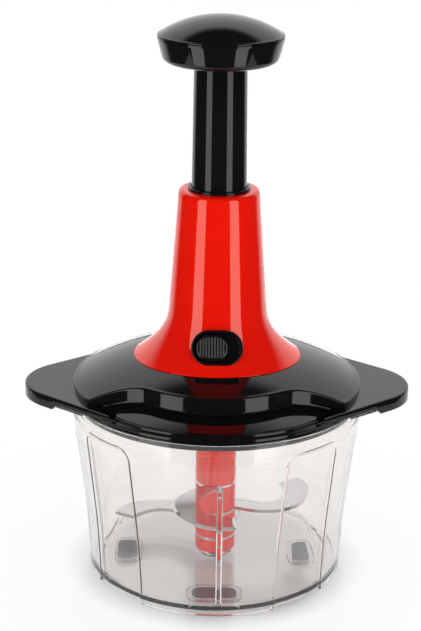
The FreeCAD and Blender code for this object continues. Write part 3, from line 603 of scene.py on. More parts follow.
FINISHES = {
    "black_plastic": gloss_plastic("black_plastic", (0.004, 0.004, 0.0042), (0.006, 0.006, 0.0062), 0.06,
                                   IOR=1.5),
    "red_plastic": gloss_plastic("red_plastic", (0.95, 0.006, 0.0004), (0.98, 0.008, 0.0006), 0.06, IOR=1.78,
                                 Specular_Tint=(1.0, 0.85, 0.7, 1.0)),
    "clear_plastic": clear_plastic(),
    "black_matte": matt_plastic("black_matte", (0.02, 0.02, 0.02), (0.03, 0.03, 0.03)),
    "white_plastic": matt_plastic("white_plastic", (0.78, 0.78, 0.76), (0.84, 0.84, 0.82), 0.4),
    "grey_rubber": soft_rubber("grey_rubber", (0.24, 0.24, 0.245), (0.3, 0.3, 0.305)),
    "black_rubber": soft_rubber("black_rubber", (0.012, 0.012, 0.012), (0.02, 0.02, 0.02)),
    "steel": brushed_metal("steel", (0.7, 0.7, 0.71), (0.78, 0.78, 0.79), 0.12, (1, 4, 1)),
    "spring_steel": brushed_metal("spring_steel", (0.5, 0.51, 0.53), (0.62, 0.63, 0.65), 0.3, (1, 1, 6)),
    "brass": brushed_metal("brass", (0.66, 0.46, 0.16), (0.76, 0.56, 0.24), 0.3, (1, 1, 8)),
}


def dress(piece, finish, body, *nodes):
    """Give a finished piece its finish and body, in place of CAD nodes."""
    piece.data.materials.clear()
    piece.data.materials.append(FINISHES[finish])
    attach(piece, body)
    if nodes:
        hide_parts(*nodes)
    return piece


# Bowl

PANEL_HALF = BOWL_KNEE_R * math.sin(math.radians(45 - LOW_ARC_HALF))
FINE_STEP = 0.25
EDGE_BAND = 6.6
EDGE_COUNT = 34
EDGE_STEPS = [PANEL_HALF - EDGE_BAND + i * FINE_STEP for i in range(EDGE_COUNT)]
MIDDLE_STEPS = [i * 2.2 for i in range(-3, 4)]
PANEL_PLACES = [-x for x in reversed(EDGE_STEPS)] + MIDDLE_STEPS + EDGE_STEPS
LAND_STEPS = 40
FAR_OUTSIDE = -PANEL_CORNER
WALL_LOW_Z = FLOOR_LOW_Z + FLOOR_BITE
WALL_HEIGHTS = [WALL_LOW_Z + i * 3.0 for i in range(27)]
WALL_HEIGHTS += [PANEL_TOP_Z - PANEL_CORNER + i * FINE_STEP for i in range(30)]
INSIDE_HEIGHTS = [BOWL_FLARE_Z - i * 8.0 for i in range(11)]


def bowl_radius(z):
    """Outer radius of the wall at a height."""
    def line(height, low, high):
        """Radius on a straight run between two (radius, height) points."""
        return low[0] + (high[0] - low[0]) * (height - low[1]) / (high[1] - low[1])

    foot, knee, top = (BOWL_FOOT_R, FLOOR_TOP_Z), (BOWL_KNEE_R, BOWL_KNEE_Z), (BOWL_TOP_R, BOWL_FLARE_Z)
    if z >= BOWL_FLARE_Z:
        return BOWL_TOP_R
    if abs(z - BOWL_KNEE_Z) >= BOWL_KNEE_SOFT:
        return line(z, foot, knee) if z < BOWL_KNEE_Z else line(z, knee, top)
    share = (z - BOWL_KNEE_Z + BOWL_KNEE_SOFT) / (2 * BOWL_KNEE_SOFT)
    low = line(BOWL_KNEE_Z - BOWL_KNEE_SOFT, foot, knee)
    high = line(BOWL_KNEE_Z + BOWL_KNEE_SOFT, knee, top)
    return low * (1 - share) ** 2 + 2 * BOWL_KNEE_R * share * (1 - share) + high * share ** 2


def panel_inside(x, z):
    """Distance inside the edge of a panel, which is open below and has rounded top corners."""
    across = abs(x) - (PANEL_HALF - PANEL_CORNER)
    above = z - (PANEL_TOP_Z - PANEL_CORNER)
    if across > 0 and above > 0:
        return PANEL_CORNER - math.hypot(across, above)
    return PANEL_CORNER - max(across, above)


def panel_relief(inside, fade):
    """How deep the wall is sunk at a distance inside the panel's edge; it runs out flat towards the ears."""
    share = clamped(inside / PANEL_STEP + 0.5)
    bead = math.sqrt(max(0.0, 1 - (inside / PANEL_BEAD_W) ** 2)) * (1 - PANEL_BEAD_FADE * fade)
    return PANEL_DEPTH * share * share * (3 - 2 * share) * (1 - fade) - PANEL_BEAD_H * bead


def bowl_ring(radius, z, sunk=False, arc_z=None, arc_out=0.0):
    """Ring round the bowl; its panels may be sunk, and its foot's arcs have their own height and radius."""
    spots = []
    end = math.asin(PANEL_PLACES[-1] / radius)
    for quarter in range(4):
        middle = math.radians(PATTERN_TURN + 45 + 90 * quarter)
        ear_side = 1 if quarter % 2 else -1
        full = PANEL_BACK_SHARE if quarter < 2 else 1.0
        for x in PANEL_PLACES:
            fade = clamped(ear_side * x / PANEL_HALF + PANEL_FADE_START)
            inside = panel_inside(x, z)
            spots.append((middle + math.asin(x / radius), inside, full * panel_relief(inside, fade)))
        for i in range(1, LAND_STEPS):
            spots.append((middle + end + (math.pi / 2 - 2 * end) * i / LAND_STEPS, FAR_OUTSIDE, 0.0))
    ring = []
    for angle, inside, depth in spots:
        arc_share = clamped(0.5 - inside)
        out = radius + arc_out * arc_share - (depth if sunk else 0.0)
        height = z if arc_z is None else z + (arc_z - z) * arc_share
        ring.append((out * math.cos(angle), out * math.sin(angle), height))
    return ring


def bowl_outside():
    """Rings from the underside's edge, over the foot and up the wall to the rim."""
    low_r, in_r = BOWL_FOOT_R - FOOT_STEP, BOWL_TOP_R - BOWL_WALL
    foot = ((low_r - FOOT_EDGE, FOOT_HIGH_Z, FOOT_LOW_Z),
            (low_r, FOOT_HIGH_Z + FOOT_EDGE, FOOT_LOW_Z + FOOT_EDGE), (low_r, FLOOR_LOW_Z, FLOOR_LOW_Z))
    rings = [bowl_ring(FOOT_IN_R, FLOOR_LOW_Z), bowl_ring(FOOT_IN_R, FOOT_HIGH_Z, False, FOOT_LOW_Z)]
    rings += [bowl_ring(radius, z, False, arc_z, FOOT_STEP) for radius, z, arc_z in foot]
    rings += [bowl_ring(bowl_radius(z), z, True) for z in WALL_HEIGHTS]
    bead = softened([(BOWL_TOP_R, RIM_LOW_Z - 0.2), (RIM_R, RIM_LOW_Z, 0.3), (RIM_R, RIM_TOP_Z, 0.8),
                     (in_r, RIM_TOP_Z, 0.8), (in_r, RIM_IN_Z)])
    return rings + [bowl_ring(p[0], p[1]) for p in bead]


def round_about(radius, z):
    """Plain ring with the bowl's numbering of corners."""
    return [(p[0] * radius / math.hypot(p[0], p[1]), p[1] * radius / math.hypot(p[0], p[1]), z)
            for p in bowl_ring(BOWL_FOOT_R, FLOOR_TOP_Z)]


def bowl_inside():
    """Rings from the mouth down the wall and over the floor to the pin's boss."""
    rings = [bowl_ring(bowl_radius(z) - BOWL_WALL, z) for z in INSIDE_HEIGHTS]
    inner = bowl_radius(FLOOR_TOP_Z) - BOWL_WALL
    well = softened([(inner + 0.2, INSIDE_HEIGHTS[-1]), (inner, FLOOR_TOP_Z, 1.6), (50.0, FLOOR_TOP_Z),
                     (PIN_BOSS_R + 1.0, FLOOR_TOP_Z, 1.0), (PIN_BOSS_R, PIN_BOSS_Z, 0.8),
                     (PIN_HOLE_R, PIN_BOSS_Z, 0.3), (PIN_HOLE_R, PIN_HOLE_Z), (0.0, PIN_HOLE_Z)])
    return rings + [round_about(p[0], p[1]) for p in well[1:-1]]


def make_rib(turn):
    """Upright fin inside the wall, drawn at the front and turned about the axis."""
    spin = Matrix.Rotation(math.radians(turn), 3, "Z")

    def outline(z, inset):
        """Outline of the fin at a height, its inner corners cut."""
        half, deep = RIB_W / 2 - inset, bowl_radius(z) - BOWL_WALL / 2
        near = RIB_IN_R + inset
        points = [(half, deep), (half, near + RIB_CHAMFER), (half - RIB_CHAMFER, near),
                  (RIB_CHAMFER - half, near), (-half, near + RIB_CHAMFER), (-half, deep)]
        return [spin @ Vector((x, -y, z)) for x, y in points]

    levels = [FLOOR_TOP_Z - 1.0 + i * (RIB_TOP_Z - FLOOR_TOP_Z) / 16 for i in range(17)]
    rings = [outline(z, 0.0) for z in levels]
    rings += [outline(RIB_TOP_Z - RIB_TOP_CHAMFER, 0.0), outline(RIB_TOP_Z, RIB_TOP_CHAMFER)]
    return raise_rings("rib", rings, 30.0, True)


def make_cell(turn):
    """Low wall that holds a foot pad under the floor."""
    outer = rounded_plan(PAD_L + 2 * CELL_WALL, PAD_W + 2 * CELL_WALL, PAD_CORNER + CELL_CORNER)
    inner = rounded_plan(PAD_L + PAD_GAP, PAD_W + PAD_GAP, PAD_CORNER)
    levels = [(outer, CELL_LOW_Z, CELL_CHAMFER), (outer, CELL_LOW_Z + CELL_CHAMFER, 0.0),
              (outer, WALL_LOW_Z, 0.0), (inner, WALL_LOW_Z, 0.0), (inner, CELL_LOW_Z, 0.0),
              (outer, CELL_LOW_Z, CELL_CHAMFER)]
    spin = Matrix.Rotation(turn, 3, "Z")
    place = spin @ Vector((0, PAD_RADIUS, 0))
    rings = [[spin @ Vector(p) + place for p in plan_ring(plan, z, inset)] for plan, z, inset in levels]
    return raise_rings("cell", rings, 30.0)


def make_bowl_ear(sign):
    """Clear ear that lies under the lid's ear."""
    plan = ear_plan(BOWL_EAR_INSET)
    levels = ((BOWL_EAR_LOW_Z, BOWL_EAR_CHAMFER), (BOWL_EAR_LOW_Z + BOWL_EAR_CHAMFER, 0.0),
              (BOWL_EAR_TOP_Z - BOWL_EAR_CHAMFER, 0.0), (BOWL_EAR_TOP_Z, BOWL_EAR_CHAMFER))
    rings = [facing(sign, plan_ring(plan, z, inset)) for z, inset in levels]
    ear = raise_rings("bowl_ear", rings, 30.0, True)
    cut_r, (cut_low, cut_high) = BOWL_TOP_R - BOWL_WALL / 2, MOUTH_CUT_Z
    cut_away(ear, turned_piece("bore", [(0, cut_low), (cut_r, cut_low), (cut_r, cut_high), (0, cut_high)]))
    return ear


def make_bowl():
    """Clear shell made one with its ribs, ears and pad cells."""
    outside, inside = bowl_outside(), bowl_inside()
    count = len(outside[0])
    rings = [pole_ring(FLOOR_LOW_Z, count)] + outside + inside + [pole_ring(PIN_HOLE_Z, count)]
    bowl = raise_rings("bowl_shell", rings, 25.0)
    pieces = [make_rib(RIB_TURN), make_rib(RIB_TURN + 180.0), make_bowl_ear(1), make_bowl_ear(-1)]
    pieces += [make_cell(math.pi / 2 * i) for i in range(4)]
    fused(bowl, joined("additions", pieces))
    return dress(smoothed(bowl, 25.0), "clear_plastic", "bowl", "bowl")


# Ears

def ear_plan(inset):
    """Closed outline of the ear on the +X side."""
    side = math.radians(EAR_SIDE_TURN)
    tip = EAR_TIP_R - inset
    touch = Vector((EAR_TIP_X + tip * math.cos(side), tip * math.sin(side)))
    run = (touch.x - EAR_ROOT_X) / math.sin(side)
    root = Vector((EAR_ROOT_X, touch.y + run * math.cos(side)))
    arc = arc_points(EAR_TIP_X, tip, -side, side, 48)
    back = [arc[-1].lerp(root, i / 14) for i in range(1, 15)]
    front = [Vector((p.x, -p.y)) for p in reversed(back)]
    middle = [Vector((EAR_ROOT_X, root.y * (1 - i / 4))) for i in range(1, 8)]
    return arc + back + middle + front


def facing(sign, ring):
    """Ring of the +X ear, or turned half round for the other."""
    return [(sign * x, sign * y, z) for x, y, z in ring]


def ear_low(point):
    """Bottom of the ear's skirt, which steps down round the tip."""
    share = clamped((abs(point.x) - EAR_NOTCH_X) / EAR_NOTCH_SLOPE)
    return EAR_SHALLOW_Z + (EAR_DEEP_Z - EAR_SHALLOW_Z) * share


def make_lid_ear(sign):
    """Hollow ear of the lid, open below, with a rounded top edge."""
    outer, inner = ear_plan(0.0), ear_plan(EAR_SKIN)
    under = EAR_TOP_Z - EAR_SKIN

    def shrunk(plan, z, share):
        """Ring of a plan drawn in towards the ear's middle."""
        return [(EAR_MIDDLE_X + (p.x - EAR_MIDDLE_X) * share, p.y * share, z) for p in plan]

    rings = [shrunk(inner, under, 0.0), shrunk(inner, under, 0.9), plan_ring(inner, under),
             [(p.x, p.y, ear_low(o)) for p, o in zip(inner, outer)],
             [(p.x, p.y, ear_low(p)) for p in plan_copy(outer, EAR_FOOT_CHAMFER)],
             [(p.x, p.y, ear_low(p) + EAR_FOOT_CHAMFER) for p in outer]]
    rings += rounded_edge(outer, EAR_TOP_Z, EAR_ROUND, 5, first=0)
    rings.append(plan_ring(outer, EAR_TOP_Z, 2 * EAR_ROUND))
    rings += [shrunk(outer, EAR_TOP_Z, share) for share in (0.5, 0.0)]
    return raise_rings("ear", [facing(sign, ring) for ring in rings])


# Lid

def dome_height(radius, drop=0.0):
    """Height of the dome at a radius, lowered by a wall if asked."""
    return cap_height(DOME_TOP_Z, BRIM_EDGE_R, DOME_TOP_Z - BRIM_EDGE_Z, radius, drop)


def quarter_plan():
    """Dome outline from +X to +Y: brim, corner, flowing curve and scallop wall."""
    corner = Vector(SCALLOP_CORNER)
    brim = arc_points(0.0, BRIM_R, 0.0, math.asin(corner.y / BRIM_R), 20)
    edge = brim[-1].lerp(corner, 0.5)
    start = math.radians(90 - SCALLOP_HALF)
    end = Vector((SCALLOP_R * math.cos(start), SCALLOP_R * math.sin(start)))
    corner_pull, wall_pull = SCALLOP_PULL
    poles = [corner, corner - Vector((corner_pull, 0)),
             end + wall_pull * Vector((math.sin(start), -math.cos(start))), end]
    flow = []
    for i in range(25):
        t = i / 24
        weights = ((1 - t) ** 3, 3 * t * (1 - t) ** 2, 3 * t * t * (1 - t), t ** 3)
        flow.append(sum((p * w for p, w in zip(poles, weights)), Vector((0, 0))))
    return brim + [edge] + flow + arc_points(0.0, SCALLOP_R, start, math.pi / 2, 20, first=1)


def dome_plan():
    """Whole outline of the dome, from its quarter."""
    first = quarter_plan()
    second = [Vector((-p.x, p.y)) for p in reversed(first[:-1])]
    half = first + second[:-1]
    return half + [Vector((-p.x, -p.y)) for p in half]


def dome_ring(plan, share, drop=0.0):
    """Ring on the dome, a share of the way from a plan to the hole in its middle."""
    spots = [q.lerp(q.normalized() * DOME_HOLE_R, share) for q in plan]
    return [(at.x, at.y, dome_height(at.length, drop)) for at in spots]


def apron_height(radius):
    """Height of the sloping apron at a radius."""
    share = (radius - APRON_HIGH[0]) / (APRON_LOW[0] - APRON_HIGH[0])
    return APRON_HIGH[1] + (APRON_LOW[1] - APRON_HIGH[1]) * min(1.0, share)


def make_dome():
    """Shell of the dome with its scalloped wall."""
    plan = dome_plan()
    inside, top_plan = plan_copy(plan, LID_WALL), plan_copy(plan, DOME_EDGE)

    def wall_foot(p):
        """Height where the wall stands, on the apron or at the brim's low edge."""
        return max(BRIM_LOW_Z, apron_height(p.length) - 0.2) if p.length < BRIM_R - 1.0 else BRIM_LOW_Z

    def out_at_foot(p):
        """How far the wall flows out at its foot, which is nothing at the brim."""
        return DOME_FOOT_FLOW * clamped((BRIM_R - FOOT_FLOW_FADE - p.length) / FOOT_FLOW_FADE)

    rings = [[(p.x, p.y, wall_foot(p)) for p in inside]]
    for sine, cosine in quarter_turns(5):
        spots = []
        for p, q in zip(plan, plan_copy(plan, -1.0)):
            out = out_at_foot(p)
            at = p + (q - p) * out * (1 - sine)
            spots.append((at.x, at.y, wall_foot(p) + out * (1 - cosine)))
        rings.append(spots)
    for sine, cosine in quarter_turns(6):
        spots = []
        for p, q in zip(plan, top_plan):
            at = q + (p - q) * cosine
            spots.append((at.x, at.y, dome_height(q.length) - DOME_EDGE * (1 - sine)))
        rings.append(spots)
    rings += [dome_ring(top_plan, i / DOME_ROWS) for i in range(1, DOME_ROWS + 1)]
    rings += [dome_ring(inside, 1 - i / DOME_ROWS, LID_WALL) for i in range(DOME_ROWS + 1)]
    rings.append(rings[0])
    return raise_rings("dome", rings)


def make_apron():
    """Sloping apron, ledge, skirt and collar turned in one outline."""
    return turned_piece("apron", [
        (APRON_IN_R, 105.0), (APRON_IN_R, 107.4), APRON_HIGH, (*APRON_LOW, 0.8), (71.2, LEDGE_Z, 0.5),
        (LEDGE_R, LEDGE_Z, 0.9), (LEDGE_R, 101.6, 0.4), (STEP_R, 101.0, 0.4), (STEP_R, 99.7, 0.3),
        (SKIRT_R, 99.3, 0.2), (SKIRT_R, SKIRT_LOW_Z, 0.2), (COLLAR_R, SKIRT_LOW_Z),
        (COLLAR_R, COLLAR_LOW_Z, 0.3), (COLLAR_IN_R, COLLAR_LOW_Z, 0.3), (COLLAR_IN_R, 99.6),
        (APRON_HIGH[0], 104.6)], 192)


def make_lid():
    """Dome, apron and ears in one moulding."""
    pieces = [make_dome(), make_apron(), make_lid_ear(1), make_lid_ear(-1)]
    dress(joined("lid_cover", pieces), "black_plastic", "lid", "lid")


# Tower

def tower_half_widths(z, shrink=0.0):
    """Half widths of the tower along X and Y at a height."""
    plain = TOWER_TOP_R + TOWER_TAPER * (TOWER_TOP_Z - z) - shrink
    share = max(0.0, (FLARE_TOP_Z - z) / (FLARE_TOP_Z - FLARE_LOW_Z)) ** FLARE_POWER
    return plain + FLARE_X * share, plain + FLARE_Y * share


def seam_height(angle):
    """Height where the tower's side meets the dome in one direction."""
    low, high = FLARE_LOW_Z, FLARE_TOP_Z
    for _ in range(SEAM_TRIES):
        middle = (low + high) / 2
        wide, deep = tower_half_widths(middle)
        radius = math.hypot(wide * math.cos(angle), deep * math.sin(angle))
        if middle < dome_height(radius) + TOWER_SEAM:
            low = middle
        else:
            high = middle
    return high


def make_tower():
    """Flared shell that stands on the dome, open at the top, with the lock's place cut out."""
    angles = [TURN * i / TOWER_SIDES for i in range(TOWER_SIDES)]
    seams = [seam_height(a) for a in angles]

    def side(share, shrink, lift=0.0):
        """Ring a share of the way up from the seam."""
        ring = []
        for a, seam in zip(angles, seams):
            base = seam + lift
            z = base + (TOWER_TOP_Z - base) * share
            wide, deep = tower_half_widths(z, shrink)
            ring.append((wide * math.cos(a), deep * math.sin(a), z))
        return ring

    shares = [(i / TOWER_ROWS) ** TOWER_ROW_CROWDING for i in range(TOWER_ROWS + 1)]
    tall = TOWER_TOP_Z - TOWER_BASE_Z
    outer_last = 1 - TOWER_ROUND / tall
    inner_last = (TOWER_TOP_Z - (TOWER_MOUTH_DEEP + 0.2) - TOWER_BASE_Z) / tall
    rings = [side(0.0, TOWER_WALL), side(0.0, TOWER_FOOT_IN)]
    rings += [side(s * outer_last, 0.0, 0.25) for s in shares]
    lip = [(TOWER_TOP_R - TOWER_ROUND * (1 - cosine), TOWER_TOP_Z - TOWER_ROUND * (1 - sine))
           for sine, cosine in quarter_turns(6, first=1)]
    lip += [(TOWER_MOUTH_R, TOWER_TOP_Z), (TOWER_MOUTH_R, TOWER_TOP_Z - TOWER_MOUTH_DEEP),
            (TOWER_TOP_R - TOWER_WALL, TOWER_TOP_Z - TOWER_MOUTH_DEEP)]
    rings += [round_ring(radius, z, TOWER_SIDES) for radius, z in lip]
    rings += [side(s * inner_last, TOWER_WALL) for s in reversed(shares)]
    tower = raise_rings("tower_shell", rings)
    plan = stadium_plan(LOCK_L + 2 * LOCK_GAP, LOCK_H + 2 * LOCK_GAP)
    cutter = raise_rings("lock_cutter", [plan_ring(plan, z) for z in LOCK_CUT], capped=True)
    cut_away(tower, on_lock_plane(cutter))
    dress(smoothed(tower), "red_plastic", "lid", "tower")


# Lock

def on_lock_plane(piece):
    """Move a piece drawn flat to the lock's leaning plane."""
    return settled(piece, Matrix.Translation(Vector((0, LOCK_Y, LOCK_Z)) * MM)
                   @ Matrix.Rotation(math.pi / 2 - LOCK_LEAN, 4, "X"))


def make_lock_frame():
    """Surround with a rounded lip, and a well with a cove at its floor."""
    plan = stadium_plan(LOCK_L, LOCK_H)
    rings = [pole_ring(LOCK_DEEP, len(plan)), plan_ring(plan, LOCK_DEEP),
             plan_ring(plan, LOCK_PROUD - LOCK_LIP)]
    rings += rounded_edge(plan, LOCK_PROUD, LOCK_LIP, 6)
    rings.append(plan_ring(plan, LOCK_PROUD, LOCK_RIM - LOCK_CHAMFER))
    rings.append(plan_ring(plan, LOCK_PROUD - LOCK_CHAMFER, LOCK_RIM))
    rings += [plan_ring(plan, WELL_FLOOR + WELL_COVE * (1 - sine), LOCK_RIM + WELL_COVE * (1 - cosine))
              for sine, cosine in quarter_turns(6)]
    rings.append(pole_ring(WELL_FLOOR, len(plan)))
    dress(on_lock_plane(raise_rings("lock_surround", rings)), "black_plastic", "lid", "lock_frame")


def make_lock_slider():
    """Button with ribs across it, at rest at the well's left end."""
    well_l, well_h = LOCK_L - 2 * LOCK_RIM, LOCK_H - 2 * LOCK_RIM
    length = well_l - SLIDER_TRAVEL - 2 * SLIDER_GAP
    middle = -well_l / 2 + SLIDER_GAP + length / 2
    plan = stadium_plan(length, well_h - 2 * SLIDER_GAP, middle)
    rings = [pole_ring(SLIDER_LOW, len(plan), middle), plan_ring(plan, SLIDER_LOW),
             plan_ring(plan, SLIDER_TOP - SLIDER_EDGE)]
    rings += rounded_edge(plan, SLIDER_TOP, SLIDER_EDGE, 8)
    rings += [plan_ring(plan, SLIDER_TOP, SLIDER_EDGE + 0.3), pole_ring(SLIDER_TOP, len(plan), middle)]
    pieces = [raise_rings("slider", rings)]
    end_r = well_h / 2 - SLIDER_GAP
    for i in range(GRIP_RIBS):
        aside = (i - (GRIP_RIBS - 1) / 2) * GRIP_PITCH
        x = middle + aside
        reach = math.sqrt(end_r ** 2 - max(0.0, abs(aside) - length / 2 + end_r) ** 2) - GRIP_INSET
        foot = box_plan((x - GRIP_HALF, x + GRIP_HALF), (-reach, reach))
        roof = [Vector((x + (p.x - x) * GRIP_ROOF_W, p.y * GRIP_ROOF_L)) for p in foot]
        levels = ((foot, GRIP_LOW), (foot, GRIP_SIDE), (roof, GRIP_ROOF))
        pieces.append(raise_rings("grip", [plan_ring(p, SLIDER_TOP + z) for p, z in levels], 10.0, True))
    slider = smoothed(on_lock_plane(joined("lock_button", pieces)), 17.0)
    dress(slider, "black_plastic", "lock", "lock_slider")


def make_detent():
    """Flat leaf on the floor of the lock's well, under the slider."""
    rings = [plan_ring(box_plan(LEAF_X, LEAF_Y), z) for z in LEAF_Z]
    leaf = on_lock_plane(raise_rings("detent_leaf", rings, capped=True))
    dress(leaf, "spring_steel", "lid", "lock_detent_spring")


# Plunger

def make_return_spring():
    """Wire wound about the axis at its rest length, from its foot up to the top of the CAD spring."""
    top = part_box("return_spring")[1][2] / MM
    wire, steps = SPRING_WIRE / 2, SPRING_TURNS * SPRING_TURN_STEPS
    low, high = SPRING_LOW_Z + wire, top - wire
    rings = []
    for i in range(steps + 1):
        along = TURN * SPRING_TURNS * i / steps
        spots = ((SPRING_MEAN_R + wire * math.cos(a), low + (high - low) * i / steps + wire * math.sin(a))
                 for a in (TURN * k / WIRE_SIDES for k in range(WIRE_SIDES)))
        rings.append([(out * math.cos(along), out * math.sin(along), z) for out, z in spots])
    spring = raise_rings("coil", rings, 60.0, True)
    dress(spring, "spring_steel", "lid", "return_spring")
    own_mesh(spring)


def make_tube():
    """Tube that runs in the tower, with the notch for the lock's tongue."""
    step_z, head_z = TUBE_HEAD_Z
    tube = turned_piece("tube", [
        (TUBE_BORE_R, TUBE_LOW_Z), (TUBE_R, TUBE_LOW_Z, 0.6), (TUBE_R, TUBE_TAPER_Z),
        (TUBE_TOP_R, KNOB_LOW_Z), (TUBE_TOP_R, TUBE_TOP_Z), (KNOB_SCREW_R, TUBE_TOP_Z),
        (KNOB_SCREW_R, head_z), (TUBE_HEAD_BORE_R, head_z), (TUBE_HEAD_BORE_R, step_z), (TUBE_BORE_R, step_z)])
    plan = box_plan(NOTCH_X, NOTCH_Y)
    cut_away(tube, raise_rings("notch", [plan_ring(plan, z) for z in NOTCH_Z], capped=True))
    dress(smoothed(tube), "black_plastic", "plunger", "plunger_tube")


def make_knob():
    """Palm knob in two halves: a hollow base and a domed cap."""
    seam, well_r = KNOB_RIM_Z - KNOB_SEAM, KNOB_LOW_R - KNOB_WALL
    base = turned_piece("knob_base", [
        (TUBE_TOP_R, KNOB_LOW_Z), (KNOB_LOW_R, KNOB_LOW_Z, KNOB_CORNER), (KNOB_RIM_R, KNOB_RIM_Z - 1.4, 1.2),
        (KNOB_RIM_R, seam, 0.2), (KNOB_RIM_R - KNOB_WALL, seam), (well_r, KNOB_FLOOR_Z),
        (KNOB_SEAT_R, KNOB_FLOOR_Z), (KNOB_SEAT_R, seam), (KNOB_SCREW_R, seam), (KNOB_SCREW_R, KNOB_SEAT_Z),
        (TUBE_TOP_R, KNOB_SEAT_Z)])
    dress(base, "black_plastic", "plunger", "knob_body")
    edge, rise = KNOB_RIM_R - KNOB_EDGE, KNOB_TOP_Z - KNOB_RIM_Z - KNOB_EDGE
    crown = [(r, cap_height(KNOB_TOP_Z, edge, rise, r)) for r in (edge * i / 20 for i in range(21))]
    under = [(r, cap_height(KNOB_TOP_Z, edge, rise, r, KNOB_WALL))
             for r in (CAP_SPIGOT_IN_R * i / 10 for i in range(10, -1, -1))]
    spigot_z = KNOB_RIM_Z - CAP_SPIGOT_H
    skirt = [(*crown[-1], 1.0), (KNOB_RIM_R, KNOB_RIM_Z + 0.6, 0.3), (KNOB_RIM_R, KNOB_RIM_Z, 0.15),
             (CAP_SPIGOT_R, KNOB_RIM_Z), (CAP_SPIGOT_R, spigot_z), (CAP_SPIGOT_IN_R, spigot_z)]
    cap = turned_piece("knob_dome", crown[:-1] + skirt + under)
    dress(cap, "black_plastic", "plunger", "knob_cap")


def make_guide_bush():
    """Flanged bush in the tower's mouth, which the tube runs through."""
    flange_low, flange_high = BUSH_FLANGE_Z
    bush = turned_piece("bush_collar", [
        (BUSH_IN_R, BUSH_LOW_Z), (BUSH_R, BUSH_LOW_Z, 0.3), (BUSH_R, flange_low), (BUSH_FLANGE_R, flange_low),
        (BUSH_FLANGE_R, flange_high), (BUSH_R, flange_high), (BUSH_R, TOWER_TOP_Z),
        (BUSH_LIP_R, TOWER_TOP_Z, 0.2), (BUSH_LIP_R, BUSH_LIP_Z, 0.6), (BUSH_IN_R, BUSH_LIP_Z, 0.3)])
    dress(bush, "black_plastic", "lid", "guide_bush")


# Blade column

def make_column():
    """Red segments between the blades; the top one has a cone up to its socket."""
    for node, (low, high) in COLUMN_LEVELS.items():
        inner = [(COLUMN_BORE_R, high), (COLUMN_BORE_R, low)]
        if node == "column_upper":
            inner = [(SOCKET_BORE_R, high), (SOCKET_BORE_R, SOCKET_LOW_Z),
                     (COLUMN_BORE_R, SOCKET_LOW_Z - SOCKET_CONE), (COLUMN_BORE_R, low)]
        outline = [(COLUMN_R, low, COLUMN_CHAMFER), (COLUMN_R, high, COLUMN_CHAMFER)] + inner
        dress(turned_piece(node.replace("column", "post"), outline, 96), "red_plastic", "blades", node)


def blade_plan():
    """Outline of one curved blade, from root to point and back, drawn in shares of its reach."""
    def bow(first, middle, last, steps):
        """Curve through a middle point, without its last point."""
        control = Vector(middle) * 2 - (Vector(first) + Vector(last)) / 2
        return [Vector(first) * (1 - t) ** 2 + control * 2 * t * (1 - t) + Vector(last) * t * t
                for t in (i / steps for i in range(steps))]

    root, heel, tip = (-0.1, -0.12), (-0.165, -0.92), (0.18, -0.98)
    hook, throat, end = (0.165, -0.77), (-0.14, -0.53), (0.1, -0.13)
    bows = ((root, (-0.37, -0.5), heel, 20), (heel, (0.0, -1.0), tip, 8), (tip, (0.1725, -0.875), hook, 4),
            (hook, (-0.05, -0.69), throat, 9), (throat, (-0.09, -0.33), end, 10), (end, (0, -0.125), root, 3))
    return [p * BLADE_REACH for line in bows for p in bow(*line)]


def make_blades():
    """Three flat blades with ground edges, each one piece with its hub."""
    plan = blade_plan()
    for node, (low, turn) in BLADE_LEVELS.items():
        top = low + BLADE_THICK
        rings = [plan_ring(plan, low), plan_ring(plan, low + BLADE_SIDE), plan_ring(plan, top, BLADE_GROUND)]
        blade = raise_rings(node.replace("blade", "cutter"), rings, 5.0, True)
        hub = turned_piece("hub", [(COLUMN_BORE_R, low), (BLADE_HUB_R, low), (BLADE_HUB_R, top),
                                   (COLUMN_BORE_R, top)], 64)
        blade = settled(joined(blade.name, [blade, hub]), Matrix.Rotation(math.radians(turn), 4, "Z"))
        dress(blade, "steel", "blades", node)


# Stage, lamps and camera, in metres

TABLE_FRONT = -0.2
TABLE_BACK = 3.0
TABLE_WIDTH = 0.8
GLOW_SPAN = 0.3
FLOOR_GLOW = ((0.066, 0.12), (0.082, 0.85), (0.2, 1.0))
FILL = 0.5
ROOM_DARK = 0.04
CLEAR_DARK = 0.35
SCREEN_SIDES = (0.45, 0.75)
SCREEN_TOP = (0.82, 0.7)
STRIPS = (("strip_left", -47.0), ("strip_right", 42.0))
STRIP_AWAY = 1.0
STRIP_Z = 0.1
STRIP_SIZE = (0.44, 1.6)
STRIP_GLOW = 2.0
KEY_PLACE = (0.06, 1.1, 0.62)
KEY_AIM = (0, 0, 0.05)
KEY_SIZE = (0.15, 0.15)
KEY_GLOW = 200.0
CAMERA_PLACE = (0, -0.85, 0.4355)
CAMERA_LENS = 98.64
CAMERA_SENSOR = 36.0
CAMERA_PITCH = 90 - 19.2
CAMERA_YAW = 0.25
CAMERA_ROLL = 0.65


